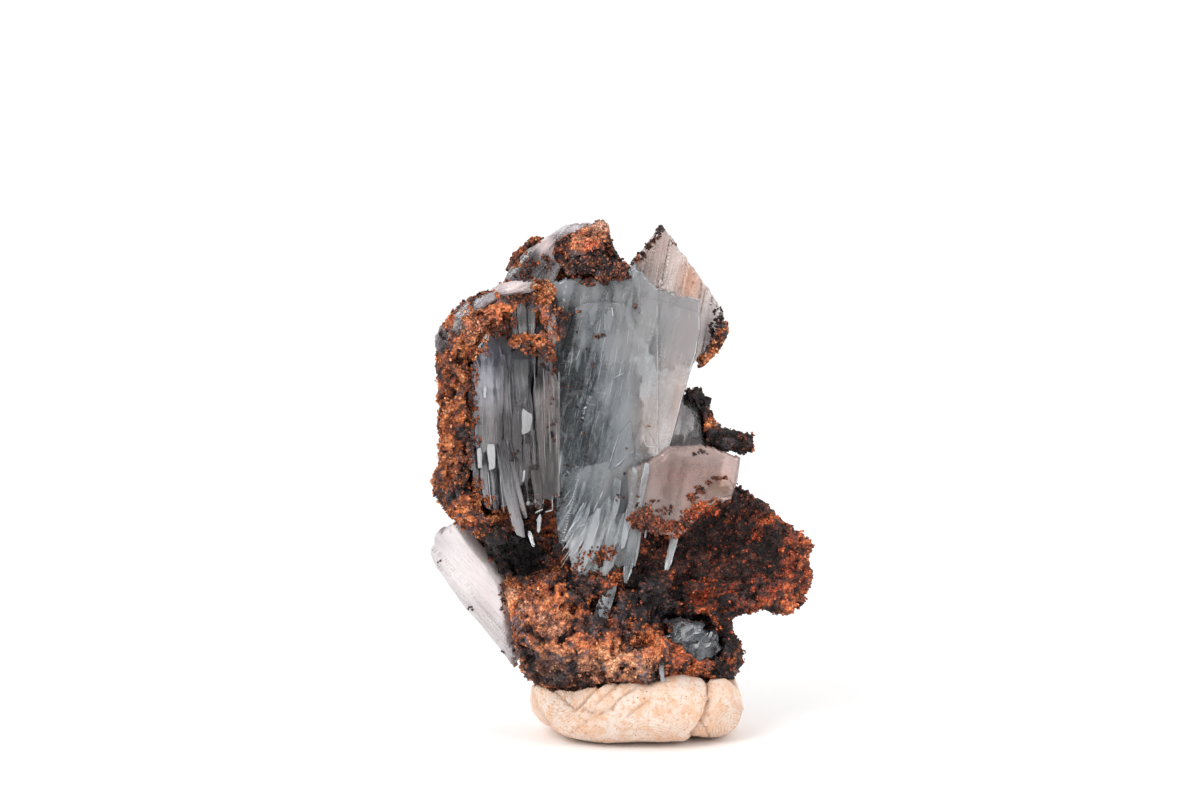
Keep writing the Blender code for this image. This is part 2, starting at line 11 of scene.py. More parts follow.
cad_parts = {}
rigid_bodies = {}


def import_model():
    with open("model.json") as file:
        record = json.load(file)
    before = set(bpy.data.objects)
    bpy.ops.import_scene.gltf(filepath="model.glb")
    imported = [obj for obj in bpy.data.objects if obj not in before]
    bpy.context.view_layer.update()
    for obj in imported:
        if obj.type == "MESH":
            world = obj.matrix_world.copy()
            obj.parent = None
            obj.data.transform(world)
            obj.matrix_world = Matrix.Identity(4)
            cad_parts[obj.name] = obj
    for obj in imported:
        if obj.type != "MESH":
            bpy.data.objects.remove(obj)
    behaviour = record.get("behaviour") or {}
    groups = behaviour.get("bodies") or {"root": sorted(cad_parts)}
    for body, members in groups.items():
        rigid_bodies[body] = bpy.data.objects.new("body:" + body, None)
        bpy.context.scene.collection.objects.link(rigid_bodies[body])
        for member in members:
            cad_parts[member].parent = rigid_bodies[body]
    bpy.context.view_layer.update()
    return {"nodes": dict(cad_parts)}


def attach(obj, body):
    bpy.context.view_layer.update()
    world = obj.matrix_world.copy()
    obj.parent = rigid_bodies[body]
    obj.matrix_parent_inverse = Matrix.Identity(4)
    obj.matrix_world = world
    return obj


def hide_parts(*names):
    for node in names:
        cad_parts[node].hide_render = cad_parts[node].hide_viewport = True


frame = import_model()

# Lengths here are in millimetres, and go to metres when a mesh is made.
MM = 0.001
scene = bpy.context.scene
NODES = frame["nodes"]

# ---------------------------------------------------------------- the sheet
# A front elevation sheet, as in the model: (u, v) on the sheet and a depth y.
PITCH = math.radians(8.0)
FOCAL = 500.0 / 0.15
RIGHT = np.array([1.0, 0.0, 0.0])
UP = np.array([0.0, math.sin(PITCH), math.cos(PITCH)])
AHEAD = np.array([0.0, math.cos(PITCH), -math.sin(PITCH)])
EYE = -RIGHT * 49 * 0.15 + UP * 333 * 0.15 - AHEAD * 500.0


def front(u, v, y):
    """Point (mm) at sheet place (u, v) and depth y."""
    ray = AHEAD + RIGHT * ((u - 600.0) / FOCAL) - UP * ((v - 400.0) / FOCAL)
    return EYE + ray * ((y - EYE[1]) / ray[1])


def on_sheet(p):
    d = np.asarray(p, float) - EYE
    z = d @ AHEAD
    return 600.0 + FOCAL * (d @ RIGHT) / z, 400.0 - FOCAL * (d @ UP) / z


# ---------------------------------------------------------------- noise
_perm = np.random.default_rng(7).permutation(4096)
_vals = np.random.default_rng(11).uniform(-1, 1, 4096)
_offs = np.random.default_rng(13).uniform(0, 1, (4096, 3))


def _hash(i, j, k):
    return _perm[(_perm[(_perm[i & 4095] + j) & 4095] + k) & 4095]


def vnoise(p, scale, seed=0):
    """Smooth value noise, -1 to 1, with features about 1/scale mm apart."""
    q = np.asarray(p, float) * scale + seed * 17.37
    i = np.floor(q).astype(np.int64)
    f = q - i
    f = f * f * f * (f * (f * 6 - 15) + 10)
    out = 0.0
    for dx in (0, 1):
        for dy in (0, 1):
            for dz in (0, 1):
                w = (
                    (f[:, 0] if dx else 1 - f[:, 0])
                    * (f[:, 1] if dy else 1 - f[:, 1])
                    * (f[:, 2] if dz else 1 - f[:, 2])
                )
                out = out + w * _vals[_hash(i[:, 0] + dx, i[:, 1] + dy, i[:, 2] + dz)]
    return out


def fbm(p, scale, seed=0, octaves=4, fall=0.5):
    total, amp, norm = 0.0, 1.0, 0.0
    for o in range(octaves):
        total = total + amp * vnoise(p, scale * 2.03**o, seed + o * 3)
        norm += amp
        amp *= fall
    return total / norm


def cells(p, size, seed=0):
    """Distance to the nearest of scattered points about size mm apart, over size."""
    q = np.asarray(p, float) / size + seed * 9.13
    i = np.floor(q).astype(np.int64)
    best = np.full(len(q), 9.0)
    for dx in (-1, 0, 1):
        for dy in (-1, 0, 1):
            for dz in (-1, 0, 1):
                c = np.stack([i[:, 0] + dx, i[:, 1] + dy, i[:, 2] + dz], 1)
                pts = c + _offs[_hash(c[:, 0], c[:, 1], c[:, 2])]
                best = np.minimum(best, ((pts - q) ** 2).sum(1))
    return np.sqrt(best)


def step(x, lo, hi):
    t = np.clip((x - lo) / (hi - lo), 0, 1)
    return t * t * (3 - 2 * t)


# ---------------------------------------------------------------- meshes
def mesh_from(name, verts, faces, smooth=None, attrs=None):
    """An object from points in mm. faces is an (n, k) array or a list of lists."""
    mesh = bpy.data.meshes.new(name)
    verts = np.asarray(verts, float)
    if isinstance(faces, np.ndarray):
        n, k = faces.shape
        mesh.vertices.add(len(verts))
        mesh.vertices.foreach_set("co", (verts * MM).astype(np.float32).ravel())
        mesh.loops.add(n * k)
        mesh.loops.foreach_set("vertex_index", faces.astype(np.int32).ravel())
        mesh.polygons.add(n)
        mesh.polygons.foreach_set("loop_start", np.arange(0, n * k, k, dtype=np.int32))
        mesh.update(calc_edges=True)
    else:
        mesh.from_pydata((verts * MM).tolist(), [], [list(map(int, f)) for f in faces])
        mesh.update()
    for key, data in (attrs or {}).items():
        data = np.asarray(data, np.float32)
        if data.ndim == 1:
            a = mesh.attributes.new(key, "FLOAT", "POINT")
            a.data.foreach_set("value", data)
        elif data.shape[1] == 4:
            a = mesh.attributes.new(key, "FLOAT_COLOR", "POINT")
            a.data.foreach_set("color", data.ravel())
        else:
            a = mesh.attributes.new(key, "FLOAT_VECTOR", "POINT")
            a.data.foreach_set("vector", data.ravel())
    obj = bpy.data.objects.new(name, mesh)
    scene.collection.objects.link(obj)
    if smooth is not None:
        mesh.shade_smooth()
        if smooth < 180:
            mesh.set_sharp_from_angle(angle=math.radians(smooth))
    return obj


def arrays(mesh):
    """(points in mm, normals, triangles) of a mesh."""
    n = len(mesh.vertices)
    co = np.empty(n * 3, np.float32)
    mesh.vertices.foreach_get("co", co)
    no = np.empty(n * 3, np.float32)
    mesh.vertex_normals.foreach_get("vector", no)
    mesh.calc_loop_triangles()
    tri = np.empty(len(mesh.loop_triangles) * 3, np.int32)
    mesh.loop_triangles.foreach_get("vertices", tri)
    return (
        co.reshape(-1, 3).astype(float) / MM,
        no.reshape(-1, 3).astype(float),
        tri.reshape(-1, 3),
    )


def remeshed(sources, voxel, extra=None, relax=0):
    """One skin over copies of the sources and extra closed shapes, in mm."""
    bm = bmesh.new()
    for s in sources:
        bm.from_mesh(s.data)
    for centre, radii, turn in extra or []:
        made = bmesh.ops.create_icosphere(bm, subdivisions=3, radius=1.0)
        c, s = math.cos(math.radians(turn)), math.sin(math.radians(turn))
        for w in made["verts"]:
            x, y, z = (w.co[i] * radii[i] for i in range(3))
            w.co = Vector(
                (centre[0] + c * x + s * z, centre[1] + y, centre[2] - s * x + c * z)
            ) * MM
    mesh = bpy.data.meshes.new("skin")
    bm.to_mesh(mesh)
    bm.free()
    obj = bpy.data.objects.new("skin", mesh)
    scene.collection.objects.link(obj)
    mod = obj.modifiers.new("skin", "REMESH")
    mod.mode = "VOXEL"
    mod.voxel_size = voxel * MM
    if relax:
        sm = obj.modifiers.new("relax", "SMOOTH")
        sm.factor = 0.5
        sm.iterations = relax
    bpy.context.view_layer.update()
    dg = bpy.context.evaluated_depsgraph_get()
    done = bpy.data.meshes.new_from_object(obj.evaluated_get(dg), depsgraph=dg)
    bpy.data.objects.remove(obj)
    quads = np.empty(len(done.loops), np.int32)
    done.loops.foreach_get("vertex_index", quads)
    starts = np.empty(len(done.polygons), np.int32)
    done.polygons.foreach_get("loop_total", starts)
    co, no, tri = arrays(done)
    bpy.data.meshes.remove(done)
    return co, no, (quads.reshape(-1, 4) if (starts == 4).all() else tri)


def normals_of(co, faces):
    tri = faces if faces.shape[1] == 3 else np.concatenate([faces[:, :3], faces[:, [0, 2, 3]]])
    n = np.cross(co[tri[:, 1]] - co[tri[:, 0]], co[tri[:, 2]] - co[tri[:, 0]])
    out = np.zeros_like(co)
    for k in range(3):
        np.add.at(out, tri[:, k], n)
    return out / np.maximum(np.linalg.norm(out, axis=1, keepdims=True), 1e-12)


# ---------------------------------------------------------------- node trees
def nodes_of(name):
    mat = bpy.data.materials.new(name)
    mat.use_nodes = True
    nt = mat.node_tree
    return mat, nt, nt.nodes["Principled BSDF"], nt.nodes["Material Output"]


class Tree:
    """Short ways to add and link nodes."""

    def __init__(self, nt):
        self.nt = nt

    def add(self, kind, **settings):
        n = self.nt.nodes.new("ShaderNode" + kind)
        for k, v in settings.items():
            setattr(n, k, v)
        return n

    def link(self, a, b):
        self.nt.links.new(a, b)

    def put(self, socket, value):
        if hasattr(value, "is_output"):
            self.link(value, socket)
        else:
            socket.default_value = value

    def attr(self, name, out="Fac"):
        n = self.add("Attribute", attribute_name=name)
        return n.outputs[out]

    def scaled(self, vector, scale):
        n = self.add("VectorMath", operation="MULTIPLY")
        self.link(vector, n.inputs[0])
        n.inputs[1].default_value = scale
        return n.outputs[0]

    def noise(self, vector, scale, detail=4.0, rough=0.55, distort=0.0):
        n = self.add("TexNoise")
        self.link(vector, n.inputs["Vector"])
        n.inputs["Scale"].default_value = scale
        n.inputs["Detail"].default_value = detail
        n.inputs["Roughness"].default_value = rough
        n.inputs["Distortion"].default_value = distort
        return n.outputs["Fac"]

    def voronoi(self, vector, scale, feature="F1"):
        n = self.add("TexVoronoi", feature=feature)
        self.link(vector, n.inputs["Vector"])
        n.inputs["Scale"].default_value = scale
        return n.outputs["Distance"]

    def span(self, value, a, b, c=0.0, d=1.0, smooth=False):
        n = self.add("MapRange", interpolation_type="SMOOTHSTEP" if smooth else "LINEAR")
        self.put(n.inputs["Value"], value)
        for i, x in zip(("From Min", "From Max", "To Min", "To Max"), (a, b, c, d)):
            n.inputs[i].default_value = x
        return n.outputs["Result"]

    def math(self, op, a, b=0.0, c=None):
        n = self.add("Math", operation=op)
        self.put(n.inputs[0], a)
        self.put(n.inputs[1], b)
        if c is not None:
            self.put(n.inputs[2], c)
        return n.outputs[0]

    def mix(self, fac, a, b, blend="MIX"):
        n = self.add("Mix", data_type="RGBA", blend_type=blend)
        self.put(n.inputs[0], fac)
        for s, x in ((n.inputs[6], a), (n.inputs[7], b)):
            if hasattr(x, "is_output"):
                self.link(x, s)
            else:
                s.default_value = (*x, 1.0) if len(x) == 3 else x
        return n.outputs[2]

    def bump(self, height, strength, distance, normal=None):
        n = self.add("Bump")
        n.inputs["Strength"].default_value = strength
        n.inputs["Distance"].default_value = distance
        self.link(height, n.inputs["Height"])
        if normal is not None:
            self.link(normal, n.inputs["Normal"])
        return n.outputs["Normal"]


def here(t):
    """Object coordinates in mm."""
    return t.scaled(t.add("TexCoord").outputs["Object"], (1000.0, 1000.0, 1000.0))


def crust_material(name, rough=0.82, gloss=0.35):
    """Goethite: each point's colour is in the tint attribute, and grit is added."""
    mat, nt, bsdf, out = nodes_of(name)
    t = Tree(nt)
    p = here(t)
    tint = t.attr("tint", "Color")
    grit = t.noise(p, 3.2, 5.0, 0.7)
    speck = t.noise(p, 9.0, 3.0, 0.6)
    shade = t.span(grit, 0.3, 0.7, 0.45, 1.5)
    shade2 = t.span(speck, 0.3, 0.7, 0.8, 1.2)
    warp = t.add("TexNoise")
    t.link(p, warp.inputs["Vector"])
    warp.inputs["Scale"].default_value = 1.3
    warped_n = t.add("VectorMath", operation="ADD")
    t.link(p, warped_n.inputs[0])
    t.link(t.scaled(warp.outputs["Color"], (0.7, 0.7, 0.7)), warped_n.inputs[1])
    warped = warped_n.outputs[0]
    stone = t.add("TexVoronoi", feature="F1")
    t.link(warped, stone.inputs["Vector"])
    stone.inputs["Scale"].default_value = 2.3
    split = t.add("SeparateColor")
    t.link(stone.outputs["Color"], split.inputs[0])
    each = t.span(split.outputs[0], 0.0, 1.0, 0.85, 2.1)
    # painted shade: the colour is darker towards each stone's edge, in the grooves between the stones
    groove_shade = t.span(stone.outputs["Distance"], 0.30, 0.62, 1.1, 0.60)
    both = t.math("MULTIPLY", t.math("MULTIPLY", shade, shade2), t.math("MULTIPLY", each, groove_shade))
    grey = t.add("CombineColor")
    for s in grey.inputs[:3]:
        t.link(both, s)
    t.link(t.mix(1.0, tint, grey.outputs[0], "MULTIPLY"), bsdf.inputs["Base Color"])
    t.link(t.span(grit, 0.3, 0.7, rough + 0.1, rough - 0.25), bsdf.inputs["Roughness"])
    bsdf.inputs["Specular IOR Level"].default_value = gloss
    h = t.math("ADD", t.math("MULTIPLY", grit, 0.7), t.math("MULTIPLY", speck, 0.3))
    h = t.math("SUBTRACT", h, t.math("MULTIPLY", t.voronoi(warped, 2.3), 1.3))
    t.link(t.bump(h, 1.0, 0.00032), bsdf.inputs["Normal"])
    return mat


def wisp_gate(t, fibre):
    return t.noise(t.scaled(fibre, (0.3, 0.2, 0.3)), 1.0, 2.0, 0.5)


def crystal_material(
    name,
    clear=(0.86, 0.92, 0.95),
    milky=(0.42, 0.45, 0.47),
    absorb=(0.62, 0.72, 0.76),
    density=180.0,
    cloud=0.5,
    contrast=5.5,
    through=(0.95, 0.40),
    gloss=(0.08, 0.30),
    streak=1.0,
    bump=0.3,
    lines=1.0,
):
    """Barite: fibres and veils run along the fibre attribute's y axis.

    cloud is the share of milky veils, through is the transmission where it is clear
    and where it is milky.
    """
    mat, nt, bsdf, out = nodes_of(name)
    t = Tree(nt)
    fibre = t.attr("fibre", "Vector")
    broad = t.noise(t.scaled(fibre, (0.34, 0.055, 0.3)), 1.0, 3.0, 0.5, 0.3)
    mid = t.noise(t.scaled(fibre, (1.5, 0.09, 0.6)), 1.0, 4.0, 0.6, 0.25)
    fine = t.noise(t.scaled(fibre, (6.5, 0.30, 1.2)), 1.0, 4.0, 0.65, 0.2)
    patch = t.noise(t.scaled(fibre, (0.13, 0.11, 0.3)), 1.0, 3.0, 0.5, 0.6)
    wisp = t.noise(t.scaled(fibre, (0.7, 0.35, 0.6)), 1.0, 5.0, 0.65, 1.0)
    crack_at = t.add("VectorMath", operation="ADD")
    t.link(t.scaled(fibre, (0.55, 0.17, 0.4)), crack_at.inputs[0])
    wob = t.add("TexNoise")
    t.link(t.scaled(fibre, (0.8, 0.5, 0.6)), wob.inputs["Vector"])
    wob.inputs["Scale"].default_value = 1.0
    t.link(t.scaled(wob.outputs["Color"], (0.5, 0.5, 0.5)), crack_at.inputs[1])
    crack = t.voronoi(crack_at.outputs[0], 1.0, "DISTANCE_TO_EDGE")
    crack = t.math("MULTIPLY", t.span(crack, 0.0, 0.030, 0.75, 0.0), t.span(wisp_gate(t, fibre), 0.5, 0.62))
    hair = t.noise(t.scaled(fibre, (14.0, 0.22, 1.0)), 1.0, 2.0, 0.5, 0.1)
    hair = t.math("MULTIPLY", t.span(hair, 0.62, 0.70, 0.0, 0.8), t.span(broad, 0.45, 0.6))
    scratch = t.noise(t.scaled(fibre, (17.0, 0.9, 1.0)), 1.0, 2.0, 0.5, 0.1)
    scratch = t.math("MULTIPLY", t.span(scratch, 0.66, 0.72, 0.0, 0.7), t.span(wisp, 0.48, 0.60))
    dots = t.span(t.voronoi(t.scaled(fibre, (2.6, 2.0, 2.6)), 1.0), 0.05, 0.11, 0.7, 0.0)
    hair = t.math("MAXIMUM", hair, t.math("MAXIMUM", scratch, dots))
    veil = t.attr("veil")  # placed in listed spots, 0 clear, 1 milky
    m = t.math("MULTIPLY", broad, 0.34)
    m = t.math("ADD", m, t.math("MULTIPLY", mid, 0.16 * streak))
    m = t.math("ADD", m, t.math("MULTIPLY", fine, 0.09 * streak))
    m = t.math("ADD", m, t.math("MULTIPLY", patch, 0.34))
    m = t.math("ADD", m, t.math("MULTIPLY", wisp, 0.16))
    mean = 0.5 * (0.34 + 0.16 * streak + 0.09 * streak + 0.34 + 0.16)
    m = t.math("MULTIPLY_ADD", t.math("SUBTRACT", m, mean), contrast, cloud)
    m = t.math("ADD", m, t.math("MULTIPLY", t.math("SUBTRACT", veil, 0.5), 1.25))
    m = t.span(m, 0.0, 1.0, 0.0, 1.0)
    m = t.math("MAXIMUM", m, t.math("MULTIPLY", t.math("ADD", crack, hair), lines))
    m = t.math("MINIMUM", m, 1.0)
    stain = t.attr("stain", "Color")  # tint placed in the listed spots, white where there is none; a few spots are painted highlights, and the darkening near rims is painted shade
    col = t.mix(m, clear, milky)
    col = t.mix(1.0, col, stain, "MULTIPLY")
    t.link(col, bsdf.inputs["Base Color"])
    t.link(t.span(m, 0.0, 1.0, through[0], through[1]), bsdf.inputs["Transmission Weight"])
    t.link(t.span(fine, 0.3, 0.7, gloss[0], gloss[1]), bsdf.inputs["Roughness"])
    bsdf.inputs["IOR"].default_value = 1.636
    h = t.math("ADD", t.math("MULTIPLY", mid, 0.7), t.math("MULTIPLY", fine, 0.3))
    t.link(t.bump(h, bump, 0.00025), bsdf.inputs["Normal"])
    vol = t.add("VolumeAbsorption")
    vol.inputs["Color"].default_value = (*absorb, 1.0)
    vol.inputs["Density"].default_value = density
    t.link(vol.outputs[0], out.inputs["Volume"])
    return mat


# ---------------------------------------------------------------- crust colours
# (u, v, half-width, half-height, amount): rust where positive, dark where negative.
RUST = [
    (446, 345, 8, 14, -0.1), (464, 342, 18, 24, 0.75), (487, 322, 28, 16, 0.9),
    (455, 396, 15, 34, 0.28), (446, 440, 10, 30, 0.65), (464, 430, 7, 40, 0.0), (450, 478, 12, 18, 0.35),
    (470, 515, 22, 14, 0.35), (495, 530, 18, 12, 0.4), (547, 290, 9, 12, 0.8),
    (545, 325, 12, 26, 0.6), (552, 372, 10, 22, 0.35), (527, 338, 14, 12, 0.6),
    (505, 312, 18, 8, 0.3), (520, 296, 18, 8, -0.35), (538, 238, 10, 8, 0.5),
    (517, 265, 6, 7, 0.5), (532, 264, 10, 9, -0.1), (583, 242, 16, 8, 0.75),
    (602, 227, 12, 8, 0.60), (600, 264, 24, 8, -0.32), (572, 268, 8, 6, 0.2),
    (608, 250, 7, 12, -0.3), (625, 268, 16, 9, -0.25),
    (655, 240, 14, 14, -0.35), (716, 346, 9, 16, 0.55), (708, 330, 8, 12, -0.35),
    (690, 403, 12, 14, -0.9), (710, 422, 5, 8, 0.8), (728, 443, 24, 12, -1.3),
    (757, 448, 4, 7, 1.6), (640, 520, 14, 13, 0.35), (702, 507, 12, 10, 0.6),
    (671, 533, 12, 10, 0.6), (512, 550, 28, 24, -0.85), (552, 556, 14, 26, 0.15),
    (604, 556, 12, 8, 0.3), (615, 576, 9, 10, 0.45), (536, 596, 28, 14, 0.40),
    (552, 618, 30, 14, 0.60), (530, 590, 18, 12, 0.2), (600, 650, 60, 16, 0.35),
    (630, 668, 60, 12, 0.35), (548, 646, 26, 14, 0.25), (540, 674, 34, 20, -0.10),
    (588, 628, 16, 7, -0.5), (556, 690, 20, 8, 0.2), (510, 610, 6, 30, 0.4),
    (656, 606, 22, 18, -0.5), (651, 640, 15, 13, 0.45), (626, 652, 20, 12, 0.35),
    (690, 600, 44, 14, 0.1), (706, 541, 60, 44, -0.30), (768, 520, 12, 6, 0.6),
    (758, 537, 8, 8, 0.35), (796, 574, 16, 26, 0.46), (774, 602, 26, 9, 0.30),
    (742, 596, 22, 12, -0.20), (716, 600, 30, 8, -0.1), (806, 552, 8, 20, 0.35), (770, 545, 18, 24, -0.3), (728, 645, 12, 26, -0.35),
    (600, 400, 26, 90, -0.9), (596, 492, 24, 30, -0.6),
    (731, 662, 8, 7, 0.35), (676, 590, 30, 16, 0.05), (640, 580, 16, 18, -0.3),
]  # fmt: skip
# Where the crust is tan and brown instead of orange, and where it is deep red.
TAN = [(601, 226, 13, 9, 1.1), (570, 268, 16, 8, 0.7), (600, 336, 12, 5, 0.9), (635, 309, 10, 5, 0.9),
       (652, 524, 30, 16, 0.5), (712, 486, 18, 11, 1.0), (600, 668, 60, 18, 0.9), (545, 668, 34, 26, 0.8), (552, 616, 26, 14, 0.5), (520, 258, 12, 14, 0.3),
       (640, 672, 26, 12, 0.5), (600, 262, 26, 10, 0.35), (560, 630, 30, 20, 0.1)]  # fmt: skip
RED = [(780, 570, 40, 40, 0.55), (700, 600, 60, 20, 0.5), (700, 514, 12, 8, 0.4),
       (588, 245, 12, 6, 0.5), (690, 660, 30, 20, 0.4), (716, 552, 90, 66, 0.55), (640, 525, 14, 14, 0.3), (712, 545, 60, 40, 0.35), (592, 244, 8, 6, 0.5)]  # fmt: skip


# Where the crust is made lighter than its rust alone makes it: partly paler crust, and partly painted light on the
# knob's top, on the shoulder over the fan and in the shadow under the knob; the last spot makes the left rim darker.
PAINTED_LIGHT = [(487, 320, 34, 16, 1.05), (601, 228, 16, 13, 0.85), (600, 264, 30, 11, 1.5),
         (584, 244, 18, 10, 0.65), (540, 602, 36, 30, 0.45), (548, 330, 12, 30, 0.35),
         (630, 270, 16, 10, 0.9),
         (600, 660, 80, 30, 0.55), (620, 604, 60, 26, 0.32), (716, 545, 80, 70, 0.10),
         (455, 425, 16, 80, -0.24)]  # fmt: skip


def field(u, v, spots):
    total = np.zeros(len(u))
    for su, sv, ru, rv, amount in spots:
        d = ((u - su) / ru) ** 2 + ((v - sv) / rv) ** 2
        total += amount * np.exp(-d * 0.9)
    return total


def lin(r, g, b):
    """A colour given as 0 to 255 screen values, made linear."""
    c = np.array([r, g, b]) / 255.0
    return np.where(c <= 0.04045, c / 12.92, ((c + 0.055) / 1.055) ** 2.4)


BLACK, UMBER, RUSTY, ORANGE, PALE = (
    lin(38, 32, 33), lin(94, 64, 56), lin(158, 82, 52), lin(230, 136, 76),
    lin(248, 196, 154),
)  # fmt: skip
TANNED, REDDISH, GREYED = lin(170, 132, 106), lin(150, 58, 34), lin(134, 124, 130)
PEACH = lin(224, 176, 158)
PALER = [(602, 225, 11, 7, 0.8), (484, 328, 20, 14, 0.42), (556, 268, 8, 6, 0.3),
         (582, 240, 18, 9, 0.30), (549, 330, 8, 26, 0.30), (604, 262, 24, 9, 0.30),
         (512, 592, 8, 5, 0.6), (524, 605, 9, 6, 0.6), (540, 618, 10, 6, 0.5), (556, 633, 10, 6, 0.4)]  # fmt: skip


def rust_at(p, jitter=0.0):
    """How rusty the crust is at p, about 0 to 1."""
    u, v = on_sheet(p)
    clump = fbm(p, 0.5, 2, 3)
    small = fbm(p, 1.4, 9, 2)
    f = 0.8 * field(u, v, RUST)
    # The far side has its own pattern.
    back = step(p[:, 1], 3.0, 8.0)
    far = 0.30 + 0.55 * fbm(p, 0.16, 21, 3)
    r = (0.42 + np.clip(f, -0.40, 0.48)) * (1 - back) + far * back
    nodule = 0.60 - np.clip(cells(p, 1.05, 2), 0, 1)
    calm = 1 - 0.72 * np.exp(-(((u - 708) / 62) ** 4 + ((v - 541) / 44) ** 4)) * (1 - back)
    calm = calm * (1 - 0.6 * np.clip(-f * 1.4, 0, 1) * (1 - back))
    wing = np.exp(-(((u - 720) / 96) ** 4 + ((v - 550) / 76) ** 4)) * (1 - back)
    specks = fbm(p, 2.6, 43, 2)
    return (
        r - 0.05 + calm * (0.62 * clump * (1 - 0.35 * wing) + 0.55 * small + 0.50 * nodule)
        + 0.50 * specks * wing + jitter
    )


def crust_colour(p, rust):
    u, v = on_sheet(p)
    back = step(p[:, 1], 3.0, 8.0)
    tan = np.clip(field(u, v, TAN) * (1 - back) + 0.25 * fbm(p, 0.2, 5, 2), 0, 1)
    red = np.clip(field(u, v, RED) * (1 - back) + 0.25 * fbm(p, 0.25, 15, 2), 0, 1)
    r = np.clip(rust, 0, 1.1)[:, None]
    stops = [(0.0, BLACK), (0.30, UMBER), (0.55, RUSTY), (0.90, ORANGE), (1.25, PALE)]
    col = np.zeros((len(p), 3)) + BLACK
    for (a, ca), (b, cb) in zip(stops, stops[1:]):
        w = np.clip((r - a) / (b - a), 0, 1)
        col = col * (1 - w) + cb * w
    lum = col.sum(1, keepdims=True) / 3
    w = (tan * step(rust, 0.2, 0.5))[:, None] * 0.7
    col = col * (1 - w) + TANNED * (lum / TANNED.mean()) * w
    w = (red * step(rust, 0.2, 0.5))[:, None] * 0.7
    col = col * (1 - w) + REDDISH * (lum / REDDISH.mean()) ** 0.8 * w
    # bits of grey crystal in the crust
    wing = np.exp(-(((u - 720) / 96) ** 4 + ((v - 550) / 76) ** 4)) * (1 - back)
    w = (step(fbm(p, 0.55, 77, 3), 0.14, 0.30) * step(-rust, -0.75, -0.35) * (1 - wing))[:, None] * 0.6
    col = col * (1 - w) + GREYED * (0.35 + 0.65 * np.clip(lum / GREYED.mean(), 0, 1.3)) * w
    # paler crust and painted light at the spots listed above
    col = col * (1 + field(u, v, PAINTED_LIGHT) * (1 - back))[:, None]
    w = (field(u, v, PALER) * (1 - back) * step(rust, 0.35, 0.7))[:, None]
    lum = col.sum(1, keepdims=True) / 3
    col = col * (1 - w) + PEACH * (lum / PEACH.mean()) ** 0.7 * w
    top = col.max(1, keepdims=True)
    col = np.where(top > 0.80, col * 0.80 / top, col)
    return np.concatenate([np.clip(col, 0.002, 0.95), np.ones((len(p), 1))], 1)


# ---------------------------------------------------------------- the matrix
def at(u, v, y, rx, ry, rz, turn=0.0):
    return (front(u, v, y), (rx, ry, rz), turn)


